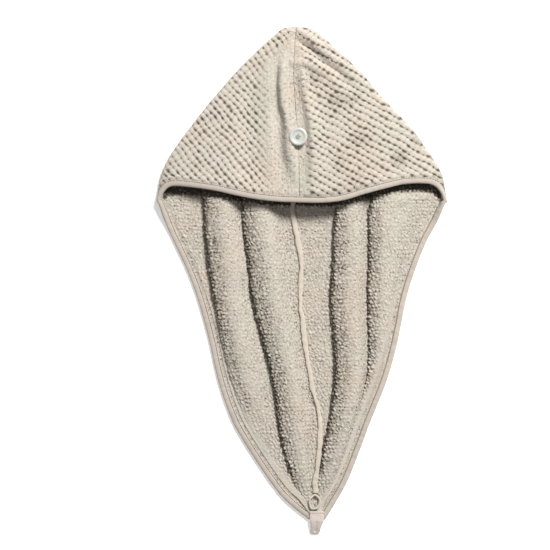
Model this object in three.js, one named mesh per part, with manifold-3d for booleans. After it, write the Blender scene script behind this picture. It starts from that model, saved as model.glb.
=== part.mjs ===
// A hair turban towel lying flat on its back, with the front of the hood up.
// Millimetres. X runs across the towel, Y up towards the top of the hood, Z off the table.
import * as THREE from 'three';
import { mergeVertices } from 'three/addons/utils/BufferGeometryUtils.js';
import Module from 'manifold-3d';

const wasm = await Module();
wasm.setup();

// The laid-out towel.
const hoodHeight = 208;
const tailLength = 383;
const towelWidth = 347;
const mouthHeight = 30;
const mouthDip = 21;
const sideFoldRadius = 4.5;
const foldHeight = 15;

// Cloth, and how thin it is pressed inside the binding.
const clothThickness = 4;
const pressedThickness = 1.6;
const seamGap = 0.3;
const clearance = 0.3;

// Binding tape folded over the free edge.
const bindingWidth = 6.5;
const bindingTape = 1;
const bindingSlack = 0.5;
const cornerCurlLength = 42;

// Tape over the seam allowance on the inside of the centre back seam, and its curled end.
const seamTapeWidth = 4.4;
const seamTapeHeight = 2.6;
const curlWidth = 15;
const curlLength = 20;
const curlCord = 3.4;

// Hanging loop at the tip.
const loopLength = 19;
const loopOverlap = 9;
const loopBaseWidth = 19;
const loopEndWidth = 12;
const loopThickness = 2.2;
const loopSlitLength = 13;
const loopSlitWidth = 2.4;

// Button and its thread.
const buttonDiameter = 22;
const buttonThickness = 3.4;
const buttonRimWidth = 3.2;
const buttonDishDepth = 1.1;
const buttonHoleDiameter = 2;
const buttonHoleSpacing = 4.4;
const threadDiameter = 1.1;

// Where the small pieces lie. down is a share of hoodHeight or tailLength, across is a share of
// half the towelWidth.
const buttonDown = 0.643;
const buttonAcross = -0.026;
const seamTapeStart = 0.3;
const curlDown = 0.945;
const curlAcross = 0.088;

// Hood sections from the top down to the mouth corners. down is a share of hoodHeight, left,
// right and seam are shares of half the towelWidth, height is a share of mouthHeight.
const hoodSections = [
  { down: 0.000, left: 0.040, right: -0.040, seam: -0.040, height: 0.34 },
  { down: 0.009, left: 0.123, right: 0.043, seam: -0.042, height: 0.36 },
  { down: 0.032, left: 0.164, right: 0.099, seam: -0.045, height: 0.38 },
  { down: 0.078, left: 0.227, right: 0.175, seam: -0.050, height: 0.42 },
  { down: 0.147, left: 0.317, right: 0.258, seam: -0.051, height: 0.46 },
  { down: 0.251, left: 0.441, right: 0.396, seam: -0.058, height: 0.52 },
  { down: 0.366, left: 0.559, right: 0.507, seam: -0.050, height: 0.58 },
  { down: 0.481, left: 0.670, right: 0.625, seam: -0.042, height: 0.65 },
  { down: 0.597, left: 0.766, right: 0.742, seam: -0.032, height: 0.72 },
  { down: 0.712, left: 0.856, right: 0.832, seam: -0.026, height: 0.80 },
  { down: 0.827, left: 0.932, right: 0.915, seam: -0.021, height: 0.88 },
  { down: 0.942, left: 0.988, right: 0.991, seam: -0.019, height: 0.96 },
  { down: 1.000, left: 1.000, right: 1.000, seam: -0.019, height: 1.00 },
];

// Tail sections from the mouth corners down to the tip, with the folds of each side. down is a
// share of tailLength, left, right and seam are shares of half the towelWidth.
const tailSections = [
  { down: 0.000, left: 1.000, right: 1.000, seam: -0.062 },
  { down: 0.063, left: 0.953, right: 0.943, seam: -0.056 },
  { down: 0.125, left: 0.891, right: 0.867, seam: -0.026 },
  { down: 0.219, left: 0.794, right: 0.784, seam: -0.002 },
  { down: 0.313, left: 0.718, right: 0.721, seam: -0.010 },
  { down: 0.438, left: 0.642, right: 0.666, seam: 0.022 },
  { down: 0.563, left: 0.580, right: 0.590, seam: 0.062 },
  { down: 0.689, left: 0.483, right: 0.479, seam: 0.120 },
  { down: 0.782, left: 0.365, right: 0.403, seam: 0.126 },
  { down: 0.876, left: 0.227, right: 0.320, seam: 0.098 },
  { down: 0.939, left: 0.116, right: 0.244, seam: 0.092 },
  { down: 1.000, left: -0.047, right: 0.161, seam: 0.104 },
];

// Left folds at the tail sections. Places are shares of the way from the seam to the binding,
// rises are shares of foldHeight.
const leftFolds = [
  { valleyC: 0.055, crest2: 0.245, valleyB: 0.370, crest1: 0.53, valleyA: 0.68, rise2: 0.90, rise1: 0.90 },
  { valleyC: 0.060, crest2: 0.250, valleyB: 0.395, crest1: 0.57, valleyA: 0.72, rise2: 0.95, rise1: 0.90 },
  { valleyC: 0.085, crest2: 0.270, valleyB: 0.430, crest1: 0.61, valleyA: 0.77, rise2: 1.00, rise1: 0.95 },
  { valleyC: 0.110, crest2: 0.280, valleyB: 0.470, crest1: 0.67, valleyA: 0.85, rise2: 1.00, rise1: 0.95 },
  { valleyC: 0.100, crest2: 0.255, valleyB: 0.490, crest1: 0.73, valleyA: 0.90, rise2: 1.00, rise1: 0.90 },
  { valleyC: 0.055, crest2: 0.240, valleyB: 0.465, crest1: 0.77, valleyA: 0.93, rise2: 0.95, rise1: 0.75 },
  { valleyC: 0.050, crest2: 0.240, valleyB: 0.430, crest1: 0.77, valleyA: 0.94, rise2: 0.90, rise1: 0.45 },
  { valleyC: 0.080, crest2: 0.290, valleyB: 0.500, crest1: 0.77, valleyA: 0.94, rise2: 0.75, rise1: 0.15 },
  { valleyC: 0.120, crest2: 0.310, valleyB: 0.570, crest1: 0.77, valleyA: 0.94, rise2: 0.60, rise1: 0.05 },
  { valleyC: 0.120, crest2: 0.330, valleyB: 0.600, crest1: 0.77, valleyA: 0.94, rise2: 0.35, rise1: 0.00 },
  { valleyC: 0.130, crest2: 0.350, valleyB: 0.600, crest1: 0.77, valleyA: 0.94, rise2: 0.08, rise1: 0.00 },
  { valleyC: 0.150, crest2: 0.350, valleyB: 0.600, crest1: 0.77, valleyA: 0.94, rise2: 0.00, rise1: 0.00 },
];

// Right folds at the tail sections, in the same shares.
const rightFolds = [
  { valleyD: 0.320, crest3: 0.410, valleyE: 0.555, crest4: 0.655, rise3: 0.80, rise4: 0.70 },
  { valleyD: 0.320, crest3: 0.430, valleyE: 0.565, crest4: 0.680, rise3: 0.85, rise4: 0.75 },
  { valleyD: 0.310, crest3: 0.460, valleyE: 0.600, crest4: 0.725, rise3: 0.85, rise4: 0.75 },
  { valleyD: 0.315, crest3: 0.490, valleyE: 0.660, crest4: 0.790, rise3: 0.85, rise4: 0.75 },
  { valleyD: 0.335, crest3: 0.535, valleyE: 0.715, crest4: 0.860, rise3: 0.85, rise4: 0.70 },
  { valleyD: 0.365, crest3: 0.585, valleyE: 0.780, crest4: 0.910, rise3: 0.85, rise4: 0.60 },
  { valleyD: 0.385, crest3: 0.650, valleyE: 0.850, crest4: 0.930, rise3: 0.85, rise4: 0.35 },
  { valleyD: 0.300, crest3: 0.680, valleyE: 0.880, crest4: 0.940, rise3: 0.80, rise4: 0.10 },
  { valleyD: 0.180, crest3: 0.640, valleyE: 0.880, crest4: 0.940, rise3: 0.60, rise4: 0.00 },
  { valleyD: 0.150, crest3: 0.600, valleyE: 0.880, crest4: 0.940, rise3: 0.30, rise4: 0.00 },
  { valleyD: 0.170, crest3: 0.580, valleyE: 0.880, crest4: 0.940, rise3: 0.08, rise4: 0.00 },
  { valleyD: 0.200, crest3: 0.580, valleyE: 0.880, crest4: 0.940, rise3: 0.00, rise4: 0.00 },
];

// How high the free front edge of the hood stands above the level of the corners, as a share of
// mouthDip. across is a share of the way from the seam to the corner.
const frontEdge = [
  { across: 0.00, left: -0.11, right: -0.11 },
  { across: 0.15, left: -0.06, right: -0.13 },
  { across: 0.30, left: 0.07, right: 0.01 },
  { across: 0.45, left: 0.30, right: 0.38 },
  { across: 0.60, left: 0.57, right: 0.71 },
  { across: 0.72, left: 0.72, right: 0.94 },
  { across: 0.84, left: 0.83, right: 1.00 },
  { across: 0.92, left: 0.80, right: 0.88 },
  { across: 0.96, left: 0.60, right: 0.69 },
  { across: 0.98, left: 0.36, right: 0.40 },
  { across: 1.00, left: 0.00, right: 0.00 },
];

// Soft ridges and dents on the front of the hood, each along a line. down is a share of
// hoodHeight, across is a share of half the towelWidth, width and height are millimetres.
const hoodRelief = [
  { fromDown: 0.24, fromAcross: -0.112, toDown: 0.45, toAcross: -0.104, width: 5, height: 6 },
  { fromDown: 0.45, fromAcross: -0.104, toDown: 0.62, toAcross: -0.062, width: 5.5, height: 6 },
  { fromDown: 0.62, fromAcross: -0.062, toDown: 0.80, toAcross: -0.050, width: 6.5, height: 6 },
  { fromDown: 0.30, fromAcross: 0.004, toDown: 0.57, toAcross: 0.066, width: 5.5, height: 5.5 },
  { fromDown: 0.57, fromAcross: 0.066, toDown: 0.84, toAcross: 0.082, width: 8, height: 6 },
  { fromDown: 0.12, fromAcross: 0.120, toDown: 0.28, toAcross: 0.350, width: 7, height: 3 },
  { fromDown: 0.22, fromAcross: 0.060, toDown: 0.31, toAcross: 0.220, width: 6, height: 3 },
  { fromDown: 0.10, fromAcross: -0.010, toDown: 0.33, toAcross: 0.310, width: 8, height: -4.5 },
  { fromDown: 0.45, fromAcross: -0.175, toDown: 0.78, toAcross: -0.148, width: 9, height: -3.5 },
  { fromDown: 0.28, fromAcross: -0.358, toDown: 0.80, toAcross: -0.358, width: 17, height: -4 },
];

// Columns of the front of the hood, as shares of the way from the seam to the side fold.
const frontColumns = [0, 0.035, 0.07, 0.11, 0.16, 0.23, 0.33, 0.46, 0.60, 0.74, 0.88, 0.95];

// Angles round the side fold in degrees, from its top to its underside.
const foldAngles = [0, 50, 110, 180];

// Share by which those angles wind on towards the underside at the mouth corners.
const cornerTwist = 0.72;

// Rows of the cloth, and how much closer together the rows of the tail are near the corners.
const hoodRows = 16;
const tailRows = 24;
const lastHoodPlace = 0.945;
const tailCrowding = 1.25;
const columnsPerFlank = 3;

// How the dome of the hood falls towards the side folds, and how its free edge bends down to
// that dome. Larger numbers keep the change nearer to the side folds and to the mouth.
const domeFall = 2.4;
const edgeBend = 3;

// How the free edge turns over at the mouth corners. The turn starts at a share of the way
// from the seam to the corner, and the lift is a share of the strip inside the binding.
const turnStart = 0.86;
const cornerLiftShare = 1.15;

// Steps from the binding to the flat cloth as shares of the clothThickness, along the tail and
// at the mouth corners.
const flatStep = 0.8;
const cornerFlatStep = 1.5;

// Places of the odd points where the cloth narrows, as shares of the way between their
// neighbours: above and below the mouth corner, and on the cut end of the tip.
const aboveCorner = 0.85;
const belowCorner = 0.4;
const tipFlat = 0.45;
const tipPressed = 0.2;

// Distances that follow from the sizes above.
const halfWidth = towelWidth / 2;
const slotHalf = pressedThickness / 2 + bindingSlack;
const tapeHalf = slotHalf + bindingTape;
const clothLevel = clothThickness / 2;
const edgeInset = clearance + bindingTape;
const pressedDepth = bindingWidth + clearance;
const cornerLift = pressedDepth * cornerLiftShare;
const foldReach = sideFoldRadius + clothLevel;

function materialOf(color, roughness) {
  return new THREE.MeshStandardMaterial({ color, roughness, metalness: 0 });
}

// A smooth curve through one column of a table. place runs from 0 at its first row to 1 at its
// last, or, where key is given, is a value of that column.
function through(table, name, key) {
  const last = table.length - 1;
  const value = (row, column) => table[Math.min(Math.max(row, 0), last)][column];
  return (place) => {
    let row = Math.floor(place * last);
    if (key) row = table.findIndex((entry) => entry[key] > place) - 1;
    if (row < 0 && place > 0.5) row = last - 1;
    row = Math.min(Math.max(row, 0), last - 1);
    const start = key ? value(row, key) : row / last;
    const end = key ? value(row + 1, key) : (row + 1) / last;
    const t = Math.min(Math.max((place - start) / (end - start), 0), 1);
    const [a, b, c, d] = [row - 1, row, row + 1, row + 2].map((r) => value(r, name));
    return b + 0.5 * t * (c - a + t * (2 * a - 5 * b + 4 * c - d + t * (3 * (b - c) + d - a)));
  };
}

const mix = (a, b, t) => a + (b - a) * t;

// One half of the towel. side is -1 for the left half and 1 for the right half.
function halfTowel(side) {
  const name = side < 0 ? 'left' : 'right';
  const hoodDown = through(hoodSections, 'down');
  const hoodOut = through(hoodSections, name);
  const hoodSeam = through(hoodSections, 'seam');
  const hoodRise = through(hoodSections, 'height');
  const tailDown = through(tailSections, 'down');
  const tailOut = through(tailSections, name);
  const tailSeam = through(tailSections, 'seam');
  const edgeRise = through(frontEdge, name, 'across');

  // Outline of the hood and tail, and the direction straight out of it.
  const outline = (place) => (place <= 1
    ? new THREE.Vector2(side * halfWidth * hoodOut(place), -hoodHeight * hoodDown(place) + hoodHeight)
    : new THREE.Vector2(side * halfWidth * tailOut(place - 1), -tailLength * tailDown(place - 1)));
  const outward = (place) => {
    if (place === 0) return new THREE.Vector2(0, 1);
    const step = 0.01;
    const run = outline(Math.min(place + step, 2)).sub(outline(Math.max(place - step, 0)));
    return new THREE.Vector2(-side * run.y, side * run.x).normalize();
  };
  const frontSeamX = (place) => halfWidth * hoodSeam(place) + side * seamGap / 2;
  const backSeamX = (place) => {
    const share = place <= 1
      ? mix(hoodSections[0].seam, tailSections[0].seam, place) : tailSeam(place - 1);
    return halfWidth * share + side * seamGap / 2;
  };

  // The relief that lies on the front of the hood at a point of the plan: its highest ridge
  // there and its deepest dent.
  const relief = (x, y) => {
    const heights = hoodRelief.map((fold) => {
      const from = new THREE.Vector2(halfWidth * fold.fromAcross, hoodHeight * (1 - fold.fromDown));
      const to = new THREE.Vector2(halfWidth * fold.toAcross, hoodHeight * (1 - fold.toDown));
      const run = to.clone().sub(from);
      const point = new THREE.Vector2(x, y);
      const along = THREE.MathUtils.clamp(point.clone().sub(from).dot(run) / run.lengthSq(), 0, 1);
      const away = point.distanceTo(from.add(run.multiplyScalar(along)));
      return fold.height * Math.exp(-((away / fold.width) ** 2));
    });
    return Math.max(0, ...heights) + Math.min(0, ...heights);
  };

  // The folds of the back at one place, as lines from the seam to the binding.
  const folds = side < 0 ? leftFolds : rightFolds;
  const foldValue = (key, place) => through(folds, key)(Math.max(place - 1, 0));
  const foldLines = (place) => {
    const line = (at, height, steep) => ({
      at: at ? foldValue(at, place) : 0,
      height: height ? foldValue(height, place) : 0,
      steep,
    });
    const lines = side < 0
      ? [line('', '', false), line('valleyC', '', false), line('crest2', 'rise2', false),
        line('valleyB', '', true), line('crest1', 'rise1', false), line('valleyA', '', true)]
      : [line('', '', false), line('valleyD', '', false), line('crest3', 'rise3', true),
        line('valleyE', '', false), line('crest4', 'rise4', true)];
    return [...lines, { at: 1, height: 0, steep: false }];
  };
  const backColumns = (place) => {
    const lines = foldLines(place);
    const columns = [];
    for (let k = lines.length - 1; k > 0; k -= 1) {
      const [outer, inner] = [lines[k], lines[k - 1]];
      const flat = k === 1 && side < 0;
      const steps = flat ? 1 : columnsPerFlank;
      for (let step = 0; step < steps; step += 1) {
        const t = step / steps;
        const rise = (u) => (outer.steep ? Math.sin(u * Math.PI / 2) : (1 - Math.cos(u * Math.PI)) / 2);
        const up = outer.height > inner.height;
        const shape = up ? rise(1 - t) : rise(t);
        const height = Math.max(outer.height, inner.height) * shape;
        columns.push({ at: mix(outer.at, inner.at, t), height });
      }
    }
    columns.push({ at: 0, height: 0 });
    return columns;
  };

  const fade = (place) => Math.min(place, 1) ** 2;
  const foldStart = frontColumns.length;
  const corner = foldStart + 1;
  const pressed = foldStart + 2;
  const flatStart = foldStart + 3;
  const lastColumn = flatStart + backColumns(1).length - 1;
  const lastRow = hoodRows + tailRows;
  const placeOf = (row) => {
    if (row === hoodRows - 1) return lastHoodPlace;
    return row <= hoodRows ? row / hoodRows : 1 + ((row - hoodRows) / tailRows) ** tailCrowding;
  };

  // Free edge: from the front seam to the corner, then down the tail to the tip. lift is how far
  // the edge is curled up, as a share of a right angle at the corner.
  const cornerX = outline(1).x - side * tapeHalf;
  const edge = [];
  const foldCentre = (place) => outline(place).addScaledVector(outward(place), -foldReach);
  const frontHeight = (place, across, x, y) => {
    const foldTop = clothLevel + 2 * sideFoldRadius;
    const seamTop = Math.max(mouthHeight * hoodRise(place), foldTop);
    return mix(seamTop, foldTop, across ** domeFall) + relief(x, y) * (1 - across ** 4);
  };
  const riseAt = (x) => {
    const seam = frontSeamX(1);
    return mouthDip * edgeRise(THREE.MathUtils.clamp((x - seam) / (cornerX - seam), 0, 1));
  };
  for (let j = 0; j <= corner; j += 1) {
    const end = foldCentre(1).x;
    const across = j < foldStart ? frontColumns[j] : 1;
    const x = j === corner ? cornerX : mix(frontSeamX(1), end, across);
    const y = riseAt(x);
    const share = (x - frontSeamX(1)) / (cornerX - frontSeamX(1));
    const turn = Math.max((share - turnStart) / (1 - turnStart), 0) ** 2;
    const z = j === corner ? tapeHalf + cornerLift : frontHeight(1, across, x, y);
    edge.push({ row: hoodRows, column: j, at: new THREE.Vector3(x, y, z), lean: turn * Math.PI / 2 });
  }
  for (let row = hoodRows + 1; row <= lastRow; row += 1) {
    const place = placeOf(row);
    const point = outline(place);
    const curl = Math.cos(Math.min(-point.y / cornerCurlLength, 1) * Math.PI / 2) ** 2;
    point.addScaledVector(outward(place), -mix(edgeInset, tapeHalf, curl));
    const at = new THREE.Vector3(point.x, point.y, tapeHalf + cornerLift * curl);
    edge.push({ row, column: corner, at, lean: Math.PI - Math.asin(curl) });
  }
  edge.forEach((station, k) => {
    const before = edge[Math.max(k - 1, 0)].at;
    const after = edge[Math.min(k + 1, edge.length - 1)].at;
    const run = after.clone().sub(before);
    if (k === 0) run.set(side, 0, 0);
    if (k === edge.length - 1) run.normalize().add(new THREE.Vector3(-side, 0, 0));
    run.normalize();
    const plan = new THREE.Vector3(-side * run.y, side * run.x, 0).multiplyScalar(-1);
    const out = station.row > hoodRows ? plan.normalize().negate() : new THREE.Vector3(side, 0, 0);
    const normal = out.multiplyScalar(Math.sin(station.lean));
    normal.z += Math.cos(station.lean);
    normal.addScaledVector(run, -normal.dot(run)).normalize();
    station.run = run;
    station.normal = normal;
    station.inward = new THREE.Vector3().crossVectors(normal, run).multiplyScalar(side);
    station.ring = station.at.clone().addScaledVector(station.inward, pressedDepth);
  });
  const cornerStation = edge[corner];

  // Middle surface of the cloth, its thickness and the places where its normal is given.
  const points = [];
  const put = (row, column, at, thickness, normal) => {
    points[row] ??= [];
    points[row][column] = { at, thickness, normal };
  };
  for (let row = 0; row <= lastRow; row += 1) {
    const place = placeOf(row);
    const columns = backColumns(place);
    const out = outward(place);
    let start = new THREE.Vector3();
    if (row <= hoodRows) {
      const centre = foldCentre(place);
      if (row === 0) centre.x = frontSeamX(0);
      frontColumns.forEach((across, j) => {
        const x = mix(frontSeamX(place), centre.x, across);
        const y = centre.y + riseAt(x) * place ** edgeBend;
        const z = frontHeight(place, across, x, y);
        const at = row === 0 ? new THREE.Vector3(centre.x, centre.y, clothLevel + 2 * sideFoldRadius)
          : new THREE.Vector3(x, y, z);
        put(row, j, at, clothThickness);
      });
      foldAngles.forEach((degrees, k) => {
        const turned = mix(degrees, 180, cornerTwist * place ** 4);
        const angle = THREE.MathUtils.degToRad(turned);
        const reach = sideFoldRadius * Math.sin(angle);
        const x = centre.x + out.x * reach;
        const dip = degrees < 90 ? riseAt(x) * place ** edgeBend : 0;
        const z = clothLevel + sideFoldRadius * (1 + Math.cos(angle));
        put(row, foldStart + k, new THREE.Vector3(x, centre.y + out.y * reach + dip, z), clothThickness);
      });
      start = points[row][flatStart].at;
      if (row === hoodRows) start = new THREE.Vector3(cornerX - side * pressedDepth, 0, clothLevel);
    } else {
      const station = edge[corner + row - hoodRows];
      const curl = Math.sin(station.lean);
      const plan = new THREE.Vector3(-out.x, -out.y, 0);
      start = station.ring.clone().addScaledVector(plan, clothThickness * mix(flatStep, cornerFlatStep, curl));
      start.z = clothLevel;
    }
    const seam = new THREE.Vector3(backSeamX(place), start.y, clothLevel);
    if (row > hoodRows) seam.y = mix(-tailLength * tailDown(place - 1), start.y, place - 1);
    if (row === lastRow) {
      seam.y = edge[edge.length - 1].at.y;
      start = edge[edge.length - 1].at.clone().lerp(seam, tipFlat);
      start.z = clothLevel;
    }
    columns.forEach((column, k) => {
      const at = seam.clone().lerp(start, column.at);
      at.z = clothLevel + foldHeight * column.height * fade(place);
      put(row, flatStart + k, at, row > lastRow - 2 ? pressedThickness : clothThickness);
    });
  }
  // The edge and the pressed strip inside the binding take the binding's own stations.
  edge.forEach((station) => {
    put(station.row, station.column, station.at, pressedThickness, station.normal);
    if (station.row === hoodRows && station.column < corner) {
      put(hoodRows - 1, station.column, station.ring, pressedThickness, station.normal);
    }
    if (station.row > hoodRows) {
      put(station.row, pressed, station.ring, pressedThickness, station.normal);
    }
  });
  const between = (a, b, t) => ({
    at: a.ring.clone().lerp(b.ring, t),
    normal: a.normal.clone().lerp(b.normal, t).normalize(),
  });
  const above = between(edge[corner - 1], cornerStation, aboveCorner);
  const below = between(cornerStation, edge[corner + 1], belowCorner);
  put(hoodRows - 1, corner, above.at, pressedThickness, above.normal);
  put(hoodRows - 1, pressed, cornerStation.ring, pressedThickness, cornerStation.normal);
  put(hoodRows, pressed, below.at, pressedThickness, below.normal);
  const tip = edge[edge.length - 1];
  const down = new THREE.Vector3(0, 0, -1);
  const tipRing = tip.at.clone().lerp(points[lastRow][lastColumn].at, tipPressed);
  put(lastRow, pressed, tipRing.setZ(tapeHalf), pressedThickness, down);
  for (let j = flatStart; j <= lastColumn; j += 1) {
    points[lastRow][j].at.z = tapeHalf;
    points[lastRow - 1][j].at.z = tapeHalf;
  }

  // Faces of the middle surface, wound so that the outside of the cloth is their front.
  const index = (row, column) => {
    if (row > 0) return row * (lastColumn + 1) + column;
    return Math.min(Math.max(column, foldStart), flatStart);
  };
  const middle = new Map();
  points.forEach((line, row) => line.forEach((point, column) => {
    if (!middle.has(index(row, column))) middle.set(index(row, column), { ...point, row, column });
  }));
  const faces = [];
  for (let row = 0; row < lastRow; row += 1) {
    for (let column = row < hoodRows ? 0 : corner; column < lastColumn; column += 1) {
      const [a, b] = [index(row, column), index(row, column + 1)];
      const [c, d] = [index(row + 1, column + 1), index(row + 1, column)];
      const onFront = row === hoodRows - 1 && column <= corner;
      for (const face of onFront ? [[a, b, d], [b, c, d]] : [[a, b, c], [a, c, d]]) {
        if (new Set(face).size === 3) faces.push(side < 0 ? face : face.reverse());
      }
    }
  }
  const sums = new Map();
  faces.forEach((face) => {
    const [a, b, c] = face.map((id) => middle.get(id).at);
    const cross = b.clone().sub(a).cross(c.clone().sub(a));
    face.forEach((id) => sums.set(id, (sums.get(id) ?? new THREE.Vector3()).add(cross)));
  });
  middle.forEach((point, id) => {
    if (point.normal) return;
    const normal = sums.get(id).clone();
    const onSeam = point.column === 0 || point.column === lastColumn || point.row === 0;
    if (onSeam) normal.x = 0;
    if (point.row === 0) {
      const degrees = foldAngles[Math.max(point.column - foldStart, 0)];
      const angle = THREE.MathUtils.degToRad(degrees);
      normal.set(0, Math.sin(angle), Math.cos(angle));
    }
    point.normal = normal.normalize();
  });
  const seamLine = points.map((line) => line[lastColumn].at);
  const stations = edge.map(({ at, normal, inward }) => ({ at, normal, inward, side }));
  return { middle, faces, stations, seamLine };
}

// A closed wall of cloth from its middle surface: both faces and the rim between them.
function clothSolid(middle, faces) {
  const order = [...middle.keys()];
  const place = new Map(order.map((id, k) => [id, k]));
  const count = order.length;
  const positions = [1, -1].flatMap((turn) => order.flatMap((id) => {
    const { at, normal, thickness } = middle.get(id);
    return at.clone().addScaledVector(normal, turn * thickness / 2).toArray();
  }));
  const outer = faces.map((face) => face.map((id) => place.get(id)));
  const triangles = outer.flatMap(([a, b, c]) => [a, b, c, a + count, c + count, b + count]);
  const sides = new Set(outer.flatMap(([a, b, c]) => [`${a} ${b}`, `${b} ${c}`, `${c} ${a}`]));
  sides.forEach((key) => {
    const [a, b] = key.split(' ').map(Number);
    if (sides.has(`${b} ${a}`)) return;
    triangles.push(b, a, a + count, b, a + count, b + count);
  });
  const geometry = new THREE.BufferGeometry();
  geometry.setAttribute('position', new THREE.Float32BufferAttribute(positions, 3));
  geometry.setIndex(triangles);
  return geometry;
}

// A profile carried along stations. Each profile point is [inward, up] in the station's frame,
// listed anticlockwise as seen looking back along the run. Each face is split on the same
// diagonal as the cloth inside, which is what side says.
function sweep(stations, profile, closed) {
  const positions = stations.flatMap(({ at, inward, normal }) => profile.flatMap(([u, v]) => at
    .clone().addScaledVector(inward, u).addScaledVector(normal, v).toArray()));
  const size = profile.length;
  const spans = closed ? stations.length : stations.length - 1;
  const triangles = [];
  for (let i = 0; i < spans; i += 1) {
    const next = (i + 1) % stations.length;
    for (let k = 0; k < size; k += 1) {
      const [a, b] = [i * size + k, i * size + (k + 1) % size];
      const [c, d] = [next * size + (k + 1) % size, next * size + k];
      const goesInward = profile[(k + 1) % size][0] > profile[k][0];
      const onLeft = stations[i].side < 0 || stations[next].side < 0;
      if (goesInward === onLeft) triangles.push(a, b, d, b, c, d);
      else triangles.push(a, b, c, a, c, d);
    }
  }
  if (!closed) {
    const end = (stations.length - 1) * size;
    for (let k = 1; k < size - 1; k += 1) {
      triangles.push(0, k + 1, k, end, end + k, end + k + 1);
    }
  }
  const geometry = new THREE.BufferGeometry();
  geometry.setAttribute('position', new THREE.Float32BufferAttribute(positions, 3));
  geometry.setIndex(triangles);
  return geometry;
}

function named(name, geometry, material) {
  const mesh = new THREE.Mesh(geometry, material);
  mesh.name = name;
  return mesh;
}

// Solids for cutting and joining, and the way back.
function toSolid(geometry) {
  const bare = geometry.clone();
  bare.deleteAttribute('normal');
  bare.deleteAttribute('uv');
  const merged = mergeVertices(bare, 1e-4);
  return new wasm.Manifold(new wasm.Mesh({
    numProp: 3,
    vertProperties: new Float32Array(merged.attributes.position.array),
    triVerts: new Uint32Array(merged.index.array),
  }));
}

function toGeometry(solid) {
  const { vertProperties, triVerts } = solid.getMesh();
  const geometry = new THREE.BufferGeometry();
  geometry.setAttribute('position', new THREE.BufferAttribute(vertProperties, 3));
  geometry.setIndex(new THREE.BufferAttribute(triVerts, 1));
  return geometry;
}

// Height of the topmost cloth above a point of the plan.
function topAt(meshes, x, y) {
  const above = new THREE.Vector3(x, y, 2 * mouthHeight + hoodHeight);
  const ray = new THREE.Raycaster(above, new THREE.Vector3(0, 0, -1));
  const hit = ray.intersectObjects(meshes)[0];
  return hit ? hit.point.z : 0;
}

// Height that a flat round of the given radius must have to clear the cloth below it, with the
// slope of the plane along Y.
function seatOver(meshes, centre, radius, slope) {
  let seat = 0;
  for (let ring = 0; ring <= 4; ring += 1) {
    for (let k = 0; k < 24; k += 1) {
      const angle = k * Math.PI / 12;
      const dx = radius * ring / 4 * Math.cos(angle);
      const dy = radius * ring / 4 * Math.sin(angle);
      seat = Math.max(seat, topAt(meshes, centre.x + dx, centre.y + dy) - slope * dy);
    }
  }
  return seat;
}

// The two halves of cloth.
const knit = materialOf(0xc9bdac, 0.95);
const left = halfTowel(-1);
const right = halfTowel(1);
const leftPanel = named('left_panel', clothSolid(left.middle, left.faces), knit);
const rightPanel = named('right_panel', clothSolid(right.middle, right.faces), knit.clone());

// The binding runs from the tip up the left side, round the mouth and down the right side.
function edgeBinding() {
  const nose = -clearance - bindingTape;
  const profile = [
    [0, -tapeHalf], [bindingWidth, -tapeHalf], [bindingWidth, -slotHalf], [-clearance, -slotHalf],
    [-clearance, slotHalf], [bindingWidth, slotHalf], [bindingWidth, tapeHalf], [0, tapeHalf],
    [nose * 0.8, tapeHalf * 0.6], [nose, 0], [nose * 0.8, -tapeHalf * 0.6],
  ];
  const centre = { ...left.stations[0], side: 0 };
  centre.at = left.stations[0].at.clone().lerp(right.stations[0].at, 0.5);
  const round = [...left.stations.slice(1).reverse(), centre, ...right.stations.slice(1)];
  return named('edge_binding', sweep(round, profile, true), materialOf(0xc4b19c, 0.75));
}

// Tape over the seam allowance, lying on the inside of the back seam.
function seamBinding() {
  const rowsDown = left.seamLine.map((at, row) => at.clone().lerp(right.seamLine[row], 0.5));
  const first = Math.round(hoodRows * seamTapeStart);
  const end = -tailLength * curlDown + curlLength / 2 + clearance;
  const beyond = rowsDown.findIndex((at) => at.y < end);
  const [upper, lower] = [rowsDown[beyond - 1], rowsDown[beyond]];
  const last = upper.clone().lerp(lower, (upper.y - end) / (upper.y - lower.y));
  const kept = [...rowsDown.slice(first, beyond), last];
  const stations = kept.map((at, k) => {
    const before = kept[Math.max(k - 1, 0)];
    const after = kept[Math.min(k + 1, kept.length - 1)];
    const run = after.clone().sub(before).normalize();
    if (k === kept.length - 1) run.set(0, -1, 0);
    const normal = new THREE.Vector3(0, 0, 1);
    const inward = new THREE.Vector3().crossVectors(normal, run);
    const lifted = at.clone();
    lifted.z += clothThickness / 2 + clearance;
    return { at: lifted, inward, normal };
  });
  const half = seamTapeWidth / 2;
  const profile = [
    [-half, 0], [half, 0], [half, seamTapeHeight * 0.5], [half * 0.5, seamTapeHeight],
    [-half * 0.5, seamTapeHeight], [-half, seamTapeHeight * 0.5],
  ];
  return named('seam_binding', sweep(stations, profile, false), materialOf(0xd8ccbb, 0.8));
}

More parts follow.
